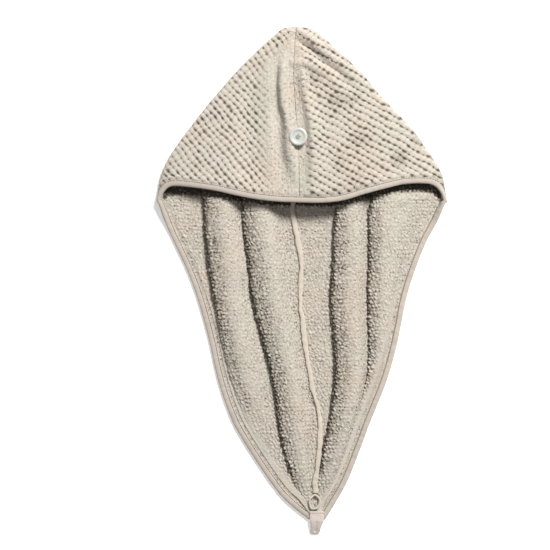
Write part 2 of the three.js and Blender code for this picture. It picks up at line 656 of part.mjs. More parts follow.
// The curled end of that tape: an oval ring lying on the cloth.
function seamEndCurl() {
  const x = halfWidth * curlAcross;
  const y = -tailLength * curlDown;
  const seat = seatOver([leftPanel, rightPanel], new THREE.Vector2(x, y), curlLength / 2, 0);
  const oval = [];
  const sections = 16;
  for (let k = 0; k < sections; k += 1) {
    const angle = k * 2 * Math.PI / sections;
    const across = (curlWidth - curlCord) / 2;
    const along = (curlLength - curlCord) / 2;
    const at = new THREE.Vector3(x + across * Math.cos(angle), y + along * Math.sin(angle), 0);
    at.z = seat + clearance + curlCord / 2;
    const normal = new THREE.Vector3(0, 0, 1);
    const run = new THREE.Vector3(-across * Math.sin(angle), along * Math.cos(angle), 0).normalize();
    oval.push({ at, normal, inward: new THREE.Vector3().crossVectors(normal, run) });
  }
  const sides = 8;
  const profile = Array.from({ length: sides }, (_, k) => {
    const angle = (k + 0.5) * 2 * Math.PI / sides;
    return [curlCord / 2 * Math.cos(angle), curlCord / 2 * Math.sin(angle)];
  });
  return named('seam_end_curl', sweep(oval, profile, true), materialOf(0xd8ccbb, 0.8));
}

// Hanging loop: a folded tape. Its ends lie flat over the binding at the tip, and beyond the tip
// it slopes down to the table, with a slit between its two legs.
function hangingLoop() {
  const fold = loopOverlap + 2 * edgeInset;
  const reach = loopLength + loopOverlap - fold;
  const [base, end] = [loopBaseWidth / 2, loopEndWidth / 2];
  const lap = clearance;
  const flat = new THREE.Shape([[-base, 0], [-base, -fold], [base, -fold], [base, 0]]
    .map(([x, y]) => new THREE.Vector2(x, y)));
  const legs = new THREE.Shape();
  legs.moveTo(-base, lap);
  legs.lineTo(-base, 0);
  legs.absarc(0, -reach + end, end, Math.PI, 2 * Math.PI, false);
  legs.lineTo(base, 0);
  legs.lineTo(base, lap);
  const slit = new THREE.Shape();
  const slitHalf = loopSlitWidth / 2;
  const slitEnd = end - reach - fold;
  slit.absarc(0, slitEnd + loopSlitLength - loopSlitWidth, slitHalf, 0, Math.PI, false);
  slit.absarc(0, slitEnd, slitHalf, Math.PI, 2 * Math.PI, false);
  const settings = { depth: loopThickness, bevelEnabled: false, curveSegments: 8 };
  const flatPart = new THREE.ExtrudeGeometry(flat, settings);
  const legPart = new THREE.ExtrudeGeometry(legs, settings);
  const rest = 2 * tapeHalf + clearance;
  const slope = new THREE.Matrix4().makeShear(0, 0, 0, rest / reach, 0, 0);
  legPart.applyMatrix4(slope);
  legPart.translate(0, -fold, 0);
  const tip = left.stations[left.stations.length - 1].at.clone();
  tip.lerp(right.stations[right.stations.length - 1].at, 0.5);
  const slitPart = new THREE.ExtrudeGeometry(slit, { ...settings, depth: 4 * rest });
  slitPart.translate(0, 0, -2 * rest);
  const whole = toSolid(flatPart).add(toSolid(legPart));
  const geometry = toGeometry(whole.subtract(toSolid(slitPart)));
  geometry.translate(tip.x, tip.y + loopOverlap, rest);
  return named('hanging_loop', geometry, materialOf(0xd9cac2, 0.7));
}

// Button seated on the ridges of the front seam, square to the slope of the cloth there.
const panels = [leftPanel, rightPanel];
const buttonAt = new THREE.Vector2(halfWidth * buttonAcross, hoodHeight * (1 - buttonDown));
const buttonRadius = buttonDiameter / 2;
const ahead = topAt(panels, buttonAt.x + buttonRadius / 2, buttonAt.y - buttonRadius);
const behind = topAt(panels, buttonAt.x + buttonRadius / 2, buttonAt.y + buttonRadius);
const buttonSlope = (behind - ahead) / buttonDiameter;
const buttonSeat = seatOver(panels, buttonAt, buttonRadius * 1.05, buttonSlope) + clearance;

function onButtonSeat(mesh) {
  mesh.position.set(buttonAt.x, buttonAt.y, buttonSeat);
  mesh.rotation.x = Math.atan(buttonSlope);
  return mesh;
}

function holePlaces() {
  const reach = buttonHoleSpacing / 2;
  return [[reach, 0], [0, reach], [-reach, 0], [0, -reach]];
}

function button() {
  const inner = buttonRadius - buttonRimWidth;
  const profile = [
    [0, 0], [buttonRadius * 0.8, 0], [buttonRadius, buttonThickness * 0.45],
    [buttonRadius * 0.97, buttonThickness * 0.8], [buttonRadius - buttonRimWidth / 2, buttonThickness],
    [inner, buttonThickness - buttonDishDepth * 0.5], [inner * 0.8, buttonThickness - buttonDishDepth],
    [0, buttonThickness - buttonDishDepth],
  ].map(([x, y]) => new THREE.Vector2(x, y));
  const disc = new THREE.LatheGeometry(profile, 28);
  disc.rotateX(Math.PI / 2);
  let solid = toSolid(disc);
  holePlaces().forEach(([x, y]) => {
    const hole = new THREE.CylinderGeometry(buttonHoleDiameter / 2, buttonHoleDiameter / 2,
      4 * buttonThickness, 10);
    hole.rotateX(Math.PI / 2);
    hole.translate(x, y, 0);
    solid = solid.subtract(toSolid(hole));
  });
  return onButtonSeat(named('button', toGeometry(solid), materialOf(0xe6e4df, 0.35)));
}

// Thread: four legs through the holes, joined in a square on top of the dish.
function buttonThread() {
  const top = buttonThickness - buttonDishDepth + clearance + threadDiameter / 2;
  const foot = (x, y) => {
    const under = new THREE.Vector2(buttonAt.x + x, buttonAt.y + y);
    return seatOver(panels, under, threadDiameter, 0) - buttonSeat + threadDiameter * 0.3 + clearance;
  };
  const strand = (from, to) => {
    const run = to.clone().sub(from);
    const bar = new THREE.CylinderGeometry(threadDiameter / 2, threadDiameter / 2,
      run.length() + threadDiameter * 0.6, 8);
    bar.applyQuaternion(new THREE.Quaternion().setFromUnitVectors(
      new THREE.Vector3(0, 1, 0), run.clone().normalize()));
    const centre = from.clone().lerp(to, 0.5);
    bar.translate(centre.x, centre.y, centre.z);
    return toSolid(bar);
  };
  const tops = holePlaces().map(([x, y]) => new THREE.Vector3(x, y, top));
  let solid = strand(tops[0], tops[1]);
  tops.forEach((at, k) => {
    solid = solid.add(strand(at, at.clone().setZ(foot(at.x, at.y))));
    solid = solid.add(strand(at, tops[(k + 1) % tops.length]));
  });
  return onButtonSeat(named('button_thread', toGeometry(solid), materialOf(0xd4d0c8, 0.8)));
}

const towel = new THREE.Group();
towel.add(leftPanel, rightPanel, edgeBinding(), seamBinding(), seamEndCurl(), hangingLoop(), button(),
  buttonThread());

// The origin is the middle of the underside of everything built.
const box = new THREE.Box3().setFromObject(towel);
const middle = box.getCenter(new THREE.Vector3());
towel.position.set(-middle.x, -middle.y, -box.min.z);
const laidTowel = new THREE.Group();
laidTowel.add(towel);

export default laidTowel;
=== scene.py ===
import bpy
import numpy as np
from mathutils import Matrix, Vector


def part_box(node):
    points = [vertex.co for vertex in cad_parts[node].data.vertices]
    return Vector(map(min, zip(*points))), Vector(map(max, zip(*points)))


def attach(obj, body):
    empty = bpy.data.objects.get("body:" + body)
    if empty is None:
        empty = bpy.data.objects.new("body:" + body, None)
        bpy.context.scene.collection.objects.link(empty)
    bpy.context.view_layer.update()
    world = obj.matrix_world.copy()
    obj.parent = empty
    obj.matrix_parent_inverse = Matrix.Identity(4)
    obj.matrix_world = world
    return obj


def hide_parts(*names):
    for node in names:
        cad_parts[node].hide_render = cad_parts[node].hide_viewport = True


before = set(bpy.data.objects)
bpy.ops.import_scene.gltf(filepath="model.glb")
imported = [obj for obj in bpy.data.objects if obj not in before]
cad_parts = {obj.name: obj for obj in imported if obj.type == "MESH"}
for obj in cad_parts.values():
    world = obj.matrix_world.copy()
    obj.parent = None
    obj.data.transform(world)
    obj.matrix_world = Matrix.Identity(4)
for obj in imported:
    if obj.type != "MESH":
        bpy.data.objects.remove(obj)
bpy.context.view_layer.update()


# Cloth: two mirror halves of thick open knit. Each is one closed wall that runs from the front
# seam over the hood, round the side fold and back to the centre back seam, with the tail below.
# Lengths here are millimetres, and y is measured from the mouth corners up.
HOOD_HEIGHT = 208.0
TAIL_LENGTH = 383.0
HALF_WIDTH = 173.5
MOUTH_HEIGHT = 30.0
MOUTH_DIP = 21.0
FOLD_RADIUS = 4.5
FOLD_HEIGHT = 15.0
CLOTH = 4.0
PRESSED = 1.6
SEAM_GAP = 0.3
BAND_WIDTH = 6.5
BAND_HALF = 2.3
PRESSED_DEPTH = 6.8
CORNER_LIFT = 7.8
CORNER_CURL = 42.0
EDGE_INSET = 1.3
LEVEL = CLOTH / 2
FOLD_TOP = LEVEL + 2 * FOLD_RADIUS
MOUTH_Y = 96.4
FLOOR_GAP = 0.02

# Sections of the hood from its top to the mouth corners, and of the tail from there to the tip.
# down is a share of the height or length, left, right and seam are shares of the half width.
HOOD = dict(zip(("down", "left", "right", "seam", "height"), np.array([
    [0.000, 0.040, -0.040, -0.040, 0.34],
    [0.009, 0.123, 0.043, -0.042, 0.36],
    [0.032, 0.164, 0.099, -0.045, 0.38],
    [0.078, 0.227, 0.175, -0.050, 0.42],
    [0.147, 0.317, 0.258, -0.051, 0.46],
    [0.251, 0.441, 0.396, -0.058, 0.52],
    [0.366, 0.559, 0.507, -0.050, 0.58],
    [0.481, 0.670, 0.625, -0.042, 0.65],
    [0.597, 0.766, 0.742, -0.032, 0.72],
    [0.712, 0.856, 0.832, -0.026, 0.80],
    [0.827, 0.932, 0.915, -0.021, 0.88],
    [0.942, 0.988, 0.991, -0.019, 0.96],
    [1.000, 1.000, 1.000, -0.019, 1.00],
]).T))
TAIL = dict(zip(("down", "left", "right", "seam"), np.array([
    [0.000, 1.000, 1.000, -0.062],
    [0.063, 0.953, 0.943, -0.056],
    [0.125, 0.891, 0.867, -0.026],
    [0.219, 0.794, 0.784, -0.002],
    [0.313, 0.718, 0.721, -0.010],
    [0.438, 0.642, 0.666, 0.022],
    [0.563, 0.580, 0.590, 0.062],
    [0.689, 0.483, 0.479, 0.120],
    [0.782, 0.365, 0.403, 0.126],
    [0.876, 0.227, 0.320, 0.098],
    [0.939, 0.116, 0.244, 0.092],
    [1.000, -0.047, 0.161, 0.104],
]).T))

# Folds of the tail at its sections. Valleys and crests are shares of the way from the seam to the
# binding, rises are shares of FOLD_HEIGHT.
LEFT_FOLDS = dict(zip(("valleyC", "crest2", "valleyB", "crest1", "valleyA", "rise2", "rise1"), np.array([
    [0.055, 0.245, 0.370, 0.53, 0.68, 0.90, 0.90],
    [0.060, 0.250, 0.395, 0.57, 0.72, 0.95, 0.90],
    [0.085, 0.270, 0.430, 0.61, 0.77, 1.00, 0.95],
    [0.110, 0.280, 0.470, 0.67, 0.85, 1.00, 0.95],
    [0.100, 0.255, 0.490, 0.73, 0.90, 1.00, 0.90],
    [0.055, 0.240, 0.465, 0.77, 0.93, 0.95, 0.75],
    [0.050, 0.240, 0.430, 0.77, 0.94, 0.90, 0.45],
    [0.080, 0.290, 0.500, 0.77, 0.94, 0.75, 0.15],
    [0.120, 0.310, 0.570, 0.77, 0.94, 0.60, 0.05],
    [0.120, 0.330, 0.600, 0.77, 0.94, 0.35, 0.00],
    [0.130, 0.350, 0.600, 0.77, 0.94, 0.08, 0.00],
    [0.150, 0.350, 0.600, 0.77, 0.94, 0.00, 0.00],
]).T))
RIGHT_FOLDS = dict(zip(("valleyD", "crest3", "valleyE", "crest4", "rise3", "rise4"), np.array([
    [0.320, 0.410, 0.555, 0.655, 0.80, 0.70],
    [0.320, 0.430, 0.565, 0.680, 0.85, 0.75],
    [0.310, 0.460, 0.600, 0.725, 0.85, 0.75],
    [0.315, 0.490, 0.660, 0.790, 0.85, 0.75],
    [0.335, 0.535, 0.715, 0.860, 0.85, 0.70],
    [0.365, 0.585, 0.780, 0.910, 0.85, 0.60],
    [0.385, 0.650, 0.850, 0.930, 0.85, 0.35],
    [0.300, 0.680, 0.880, 0.940, 0.80, 0.10],
    [0.180, 0.640, 0.880, 0.940, 0.60, 0.00],
    [0.150, 0.600, 0.880, 0.940, 0.30, 0.00],
    [0.170, 0.580, 0.880, 0.940, 0.08, 0.00],
    [0.200, 0.580, 0.880, 0.940, 0.00, 0.00],
]).T))

# Rise of the hood's free edge above the mouth corners, as shares of MOUTH_DIP.
EDGE = dict(zip(("across", "left", "right"), np.array([
    [0.00, -0.11, -0.11],
    [0.15, -0.06, -0.13],
    [0.30, 0.07, 0.01],
    [0.45, 0.30, 0.38],
    [0.60, 0.57, 0.71],
    [0.72, 0.72, 0.94],
    [0.84, 0.83, 1.00],
    [0.92, 0.80, 0.88],
    [0.96, 0.60, 0.69],
    [0.98, 0.36, 0.40],
    [1.00, 0.00, 0.00],
]).T))

# Pleats and dents on the front of the hood, each a line of places. down is a share of HOOD_HEIGHT,
# across is a share of the half width. left and right are the widths of its two flanks, height is
# how far it stands up and lean how far its top hangs over to the left, in millimetres. A height
# below 0 is a dent.
PLEATS = [dict(zip(("down", "across", "left", "right", "height", "lean"), np.array(rows).T)) for rows in (
    [[0.18, -0.108, 2.4, 6.0, 1.0, 0.5],
     [0.24, -0.112, 2.4, 6.0, 6.0, 3.0],
     [0.34, -0.116, 2.4, 6.0, 7.5, 3.6],
     [0.45, -0.104, 2.4, 6.0, 7.5, 3.6],
     [0.54, -0.074, 2.6, 7.0, 7.5, 3.6],
     [0.62, -0.062, 2.8, 9.0, 7.5, 3.6],
     [0.72, -0.060, 3.0, 9.0, 7.5, 3.2],
     [0.82, -0.046, 4.0, 9.0, 4.5, 1.5],
     [0.94, -0.030, 6.0, 9.0, 0.5, 0.0]],
    [[0.22, -0.005, 5.0, 5.0, 1.0, 0.0],
     [0.30, 0.004, 5.0, 5.0, 4.0, 0.0],
     [0.43, 0.036, 6.0, 5.0, 5.5, 0.0],
     [0.57, 0.066, 9.0, 5.0, 6.0, 0.0],
     [0.70, 0.080, 10.0, 5.5, 6.0, 0.0],
     [0.82, 0.082, 9.0, 6.5, 4.5, 0.0],
     [0.96, 0.072, 9.0, 8.0, 1.5, 0.0]],
    [[0.03, -0.020, 6.0, 6.0, 0.5, 0.0],
     [0.12, 0.120, 6.0, 7.0, 4.5, 0.0],
     [0.24, 0.300, 7.0, 8.0, 4.0, 0.0],
     [0.34, 0.420, 8.0, 9.0, 0.3, 0.0]],
    [[0.21, -0.070, 4.0, 5.0, 2.0, 0.0],
     [0.22, 0.060, 5.0, 6.0, 4.0, 0.0],
     [0.27, 0.180, 5.0, 7.0, 3.5, 0.0],
     [0.36, 0.290, 6.0, 8.0, 0.4, 0.0]],
    [[0.08, -0.028, 6.0, 6.0, -3.0, 0.0],
     [0.17, 0.110, 6.0, 6.0, -6.0, 0.0],
     [0.29, 0.280, 8.0, 7.0, -4.5, 0.0],
     [0.40, 0.400, 10.0, 10.0, -0.3, 0.0]],
    [[0.20, -0.170, 9.0, 9.0, -1.0, 0.0],
     [0.45, -0.175, 10.0, 9.0, -3.5, 0.0],
     [0.75, -0.150, 10.0, 7.0, -3.0, 0.0],
     [0.90, -0.120, 10.0, 9.0, -0.5, 0.0]],
    [[0.28, -0.358, 16.0, 16.0, -3.0, 0.0],
     [0.80, -0.358, 18.0, 16.0, -4.0, 0.0]],
)]

# Coarse rails: columns of the front as shares from the seam to the side fold, angles round the
# fold in degrees, and rows as places from 0 at the top to 1 at the mouth and 2 at the tip.
FRONT = np.array([0, 0.035, 0.07, 0.11, 0.16, 0.23, 0.33, 0.46, 0.60, 0.74, 0.88, 0.95])
ANGLES = np.array([0.0, 50.0, 110.0, 180.0])
HOOD_PLACES = np.append(np.arange(15) / 16, [0.945, 1.0])
TAIL_PLACES = 1 + (np.arange(1, 25) / 24) ** 1.25
PLACES = np.append(HOOD_PLACES, TAIL_PLACES)
CORNER = len(FRONT) + 1
LAST_RAIL = CORNER + 2
MOUTH_ROW = len(HOOD_PLACES) - 1


def smooth(values, at):
    """Values read at fractional places along their first axis, on a smooth curve through them."""
    ends = np.concatenate([2 * values[:1] - values[1:2], values, 2 * values[-1:] - values[-2:-1]])
    row = np.clip(np.floor(at).astype(int), 0, len(values) - 2)
    t = (at - row).reshape(np.shape(at) + (1,) * (values.ndim - 1))
    a, b, c, d = (ends[row + k] for k in range(4))
    return b + 0.5 * t * (c - a + t * (2 * a - 5 * b + 4 * c - d + t * (3 * (b - c) + d - a)))


def column(table, name, place):
    """One column of a table at places from 0 at its first row to 1 at its last."""
    return smooth(table[name], np.clip(place, 0, 1) * (len(table[name]) - 1))


def mix(a, b, t):
    """The value a share t of the way from a to b."""
    return a + (b - a) * t


def fade(value, low, high):
    """0 at low, 1 at high, with a smooth start and end."""
    t = np.clip((value - low) / (high - low), 0, 1)
    return t * t * (3 - 2 * t)


def unit(v):
    """Vectors of length 1 the same way."""
    return v / np.maximum(np.linalg.norm(v, axis=-1, keepdims=True), 1e-9)


def outline(side, place):
    """Plan outline of one half at each place."""
    name = "left" if side < 0 else "right"
    hood = np.stack([side * HALF_WIDTH * column(HOOD, name, place),
                     HOOD_HEIGHT * (1 - column(HOOD, "down", place))], -1)
    tail = np.stack([side * HALF_WIDTH * column(TAIL, name, place - 1),
                     -TAIL_LENGTH * column(TAIL, "down", place - 1)], -1)
    return np.where((place <= 1)[..., None], hood, tail)


def outward(side, place):
    """Direction straight out of the outline at each place."""
    run = outline(side, np.minimum(place + 0.01, 2)) - outline(side, np.maximum(place - 0.01, 0))
    out = unit(np.stack([-side * run[..., 1], side * run[..., 0]], -1))
    return np.where((place == 0)[..., None], np.array([0.0, 1.0]), out)


def front_seam(side, place):
    """Where the front edge of one half lies along the centre seam, half the gap to its side."""
    return HALF_WIDTH * column(HOOD, "seam", place) + side * SEAM_GAP / 2


def back_seam(side, place):
    """The same for the seam down the centre back and on down the tail."""
    in_hood = mix(HOOD["seam"][0], TAIL["seam"][0], place)
    share = np.where(place <= 1, in_hood, column(TAIL, "seam", place - 1))
    return HALF_WIDTH * share + side * SEAM_GAP / 2


def edge_rise(side, x):
    """Height up the plan of the hood's free edge at each x."""
    name = "left" if side < 0 else "right"
    seam = front_seam(side, np.array(1.0))
    across = np.clip((x - seam) / (side * (HALF_WIDTH - BAND_HALF) - seam), 0, 1)
    row = np.interp(across, EDGE["across"], np.arange(len(EDGE["across"])))
    return MOUTH_DIP * smooth(EDGE[name], row)


def rails(side):
    """Coarse middle surface of one half from the front seam to the underside of the side fold,
    as rows by rails, with the places of the free edge and the ways in from it."""
    place = HOOD_PLACES[:, None]
    out = outward(side, HOOD_PLACES)[:, None]
    centre = outline(side, HOOD_PLACES)[:, None] - out * (FOLD_RADIUS + LEVEL)
    x = mix(front_seam(side, place), centre[..., 0], FRONT)
    y = centre[..., 1] + edge_rise(side, x) * place ** 3
    top = np.maximum(MOUTH_HEIGHT * column(HOOD, "height", place), FOLD_TOP)
    front = np.stack([x, y, mix(top, FOLD_TOP, FRONT ** 2.4)], -1)
    angle = np.radians(mix(ANGLES, 180, 0.72 * place ** 4))
    fold_x = centre[..., 0] + out[..., 0] * FOLD_RADIUS * np.sin(angle)
    fold_y = centre[..., 1] + out[..., 1] * FOLD_RADIUS * np.sin(angle)
    fold_y = fold_y + (ANGLES < 90) * edge_rise(side, fold_x) * place ** 3
    fold = np.stack([fold_x, fold_y, LEVEL + FOLD_RADIUS * (1 + np.cos(angle))], -1)
    grid = np.full((len(PLACES), LAST_RAIL + 1, 3), np.nan)
    grid[:MOUTH_ROW + 1] = np.concatenate([front, fold], 1)
    grid[0, :len(FRONT)] = np.append(centre[0, 0], FOLD_TOP)

    corner_x = side * (HALF_WIDTH - BAND_HALF)
    seam = front_seam(side, np.array(1.0))
    edge_x = np.append(mix(seam, centre[-1, 0, 0], np.append(FRONT, 1)), corner_x)
    edge_z = np.append(grid[MOUTH_ROW, :len(FRONT), 2], [FOLD_TOP, BAND_HALF + CORNER_LIFT])
    turn = np.clip(((edge_x - seam) / (corner_x - seam) - 0.86) / 0.14, 0, None) ** 2
    mouth = np.stack([edge_x, edge_rise(side, edge_x), edge_z], -1)
    tail_out = outward(side, TAIL_PLACES)
    point = outline(side, TAIL_PLACES)
    curl = np.cos(np.minimum(-point[:, 1] / CORNER_CURL, 1) * np.pi / 2) ** 2
    point = point - tail_out * mix(EDGE_INSET, BAND_HALF, curl)[:, None]
    below = np.column_stack([point, BAND_HALF + CORNER_LIFT * curl])
    at = np.concatenate([mouth, below])
    lean = np.append(turn * np.pi / 2, np.pi - np.arcsin(curl))
    run = np.gradient(at, axis=0)
    run[0] = [side, 0, 0]
    run[-1] = unit(run[-1]) + [-side, 0, 0]
    run = unit(run)
    out_way = unit(np.stack([-side * run[:, 1], side * run[:, 0], 0 * run[:, 0]], -1))
    out_way[:len(mouth)] = [side, 0, 0]
    normal = out_way * np.sin(lean)[:, None] + np.array([0, 0, 1]) * np.cos(lean)[:, None]
    normal = unit(normal - run * np.sum(normal * run, -1, keepdims=True))
    inward = side * np.cross(normal, run)
    ring = at + inward * PRESSED_DEPTH

    last = len(mouth) - 1
    grid[MOUTH_ROW, :last + 1] = mouth
    grid[MOUTH_ROW - 1, :last] = ring[:last]
    grid[MOUTH_ROW - 1, last] = mix(ring[last - 1], ring[last], 0.85)
    grid[MOUTH_ROW - 1, last + 1] = ring[last]
    grid[MOUTH_ROW, last + 1] = mix(ring[last], ring[last + 1], 0.4)
    grid[MOUTH_ROW, last + 2] = [corner_x - side * PRESSED_DEPTH, 0, LEVEL]
    grid[MOUTH_ROW + 1:, last] = below
    grid[MOUTH_ROW + 1:, last + 1] = ring[last + 1:]
    step = CLOTH * mix(0.8, 1.5, curl)[:, None] * np.column_stack([-tail_out, 0 * curl])
    flat = ring[last + 1:] + step
    flat[:, 2] = LEVEL
    end = np.array([back_seam(side, np.array(2.0)), at[-1, 1], LEVEL])
    flat[-1] = mix(at[-1], end, 0.45)
    flat[-1, 2] = LEVEL
    grid[MOUTH_ROW + 1:, last + 2] = flat
    grid[-1, last + 1] = mix(at[-1], end, 0.2)
    return grid, at, normal, inward


# How far steep flanks lean over, in millimetres, and how open the knit is where it lies flat, from
# 0 to 1, and over the top of a fold. Past 1 the value is painted shade that darkens the colour, up to
# the darkest value: painted crease shade at the foot of a steep flank, and a painted shadow of the
# hood's edge on the tail just below the mouth. The four numbers after the top's openness give the
# painted shade at the foot, the darkest value, the painted shadow below the mouth, and how far down
# that painted shadow reaches at the middle and at the corners, in millimetres. Beside the edge
# binding the pile is pressed flat between two distances.
FOLD_LEAN = 4.0
FLAT_OPEN = 0.62
TOP_OPEN = 0.45
FOOT_PAINTED_SHADE = 0.8
DARKEST = 1.8
MOUTH_PAINTED_SHADOW = 1.75
MOUTH_SHADOW_REACH = (7, 22)
PRESSED_BESIDE = {-1: (5, 14), 1: (3, 9)}


def columns_of_back(side, place, counts):
    """Shares of the way from the seam, heights and lean of the back's folds and how open its knit
    is, from the edge to the seam. Steep flanks are quarter ellipses that lean out over their
    valley, gentle ones half cosines. The knit is opened on a steep flank, the flank turned away from
    the light, which is partly painted shade, and most at its foot, where the value past 1 is painted
    crease shade. It is tight over the top of a fold and in between on the flat."""
    at_row = np.maximum(place - 1, 0)
    table = LEFT_FOLDS if side < 0 else RIGHT_FOLDS
    value = lambda name: column(table, name, at_row) if name else 0 * at_row
    if side < 0:
        lines = [("", "", 0), ("valleyC", "", 0), ("crest2", "rise2", 0), ("valleyB", "", 1),
                 ("crest1", "rise1", 0), ("valleyA", "", 1)]
    else:
        lines = [("", "", 0), ("valleyD", "", 0), ("crest3", "rise3", 1), ("valleyE", "", 0),
                 ("crest4", "rise4", 1)]
    shares = [value(line[0]) for line in lines] + [1 + 0 * at_row]
    rises = [value(line[1]) for line in lines] + [0 * at_row]
    steep = [line[2] for line in lines] + [0]
    share, height, lean, open_knit_and_shade = [], [], [], []
    for k, count in zip(range(len(shares) - 1, 0, -1), counts):
        t = np.arange(count) / count
        climbs = rises[k].max() > rises[k - 1].max()
        if steep[k]:
            turn = t * np.pi / 2
            t, rise = (np.sin(turn), np.cos(turn)) if climbs else (1 - np.cos(turn), np.sin(turn))
        else:
            rise = (1 + np.cos(t * np.pi)) / 2 if climbs else (1 - np.cos(t * np.pi)) / 2
        share.append(mix(shares[k][:, None], shares[k - 1][:, None], t))
        height.append(np.maximum(rises[k], rises[k - 1])[:, None] * rise)
        high = np.maximum(rises[k], rises[k - 1])[:, None]
        lean.append(high * np.sin(rise * np.pi) * steep[k])
        to_top = 1 - t if climbs else t
        # Past 1 at the foot of a steep flank: painted crease shade, not open knit.
        foot_open_and_shade = 1 + FOOT_PAINTED_SHADE * (1 - fade(to_top, 0.03, 0.3))
        pile = (foot_open_and_shade - (1 - TOP_OPEN) * fade(to_top, 0.45, 0.9) if steep[k]
                else mix(FLAT_OPEN, TOP_OPEN, fade(to_top, 0.3, 0.85)))
        open_knit_and_shade.append(mix(FLAT_OPEN, pile + 0 * high, np.clip(2.5 * high, 0, 1)))
    for part, value in ((share, 0), (height, 0), (lean, 0), (open_knit_and_shade, FLAT_OPEN)):
        part.append(value + 0 * at_row[:, None])
    return [np.concatenate(part, 1) for part in (share, height, lean, open_knit_and_shade)]


def spread(lengths, count):
    """Fractional places along a line whose steps have the given lengths, count equal steps long."""
    total = np.append(0, np.cumsum(lengths))
    return np.interp(np.linspace(0, total[-1], count + 1), total, np.arange(len(total)))


def relief(x, y):
    """Height and lean of the pleats and dents on the front of the hood: a bell across each line,
    steeper on one flank than on the other. The highest pleat and the deepest dent count."""
    highest, deepest, lean = 0 * x, 0 * x, 0 * x
    for line in PLEATS:
        line_x, line_y = HALF_WIDTH * line["across"], HOOD_HEIGHT * (1 - line["down"])
        for k in range(len(line_x) - 1):
            run_x, run_y = line_x[k + 1] - line_x[k], line_y[k + 1] - line_y[k]
            share = ((x - line_x[k]) * run_x + (y - line_y[k]) * run_y) / (run_x * run_x + run_y * run_y)
            share = np.clip(share, 0, 1)
            off_x = x - line_x[k] - share * run_x
            off_y = y - line_y[k] - share * run_y
            to_right = (run_x * off_y - run_y * off_x) * np.sign(run_y) / np.hypot(run_x, run_y)
            on_left = 1 - fade(to_right, -2, 2)
            width = mix(mix(line["right"][k], line["right"][k + 1], share),
                        mix(line["left"][k], line["left"][k + 1], share), on_left)
            bell = np.exp(-(np.hypot(off_x, off_y) / width) ** 2)
            height = mix(line["height"][k], line["height"][k + 1], share) * bell
            highest, deepest = np.maximum(highest, height), np.minimum(deepest, height)
            lean = np.maximum(lean, mix(line["lean"][k], line["lean"][k + 1], share) * bell)
    return highest + deepest, lean


# Steps of the fine surface: down the hood and the tail, along the mouth, round the side fold and
# across each flank of the folds on the back, from the edge to the seam.
HOOD_STEPS = 162
TAIL_STEPS = 300
FRONT_STEPS = 129
FOLD_STEPS = 12
BACK_STEPS = {-1: (27, 21, 33, 30, 33, 12), 1: (48, 27, 30, 24, 36)}
FRONT_OPEN = 0.65


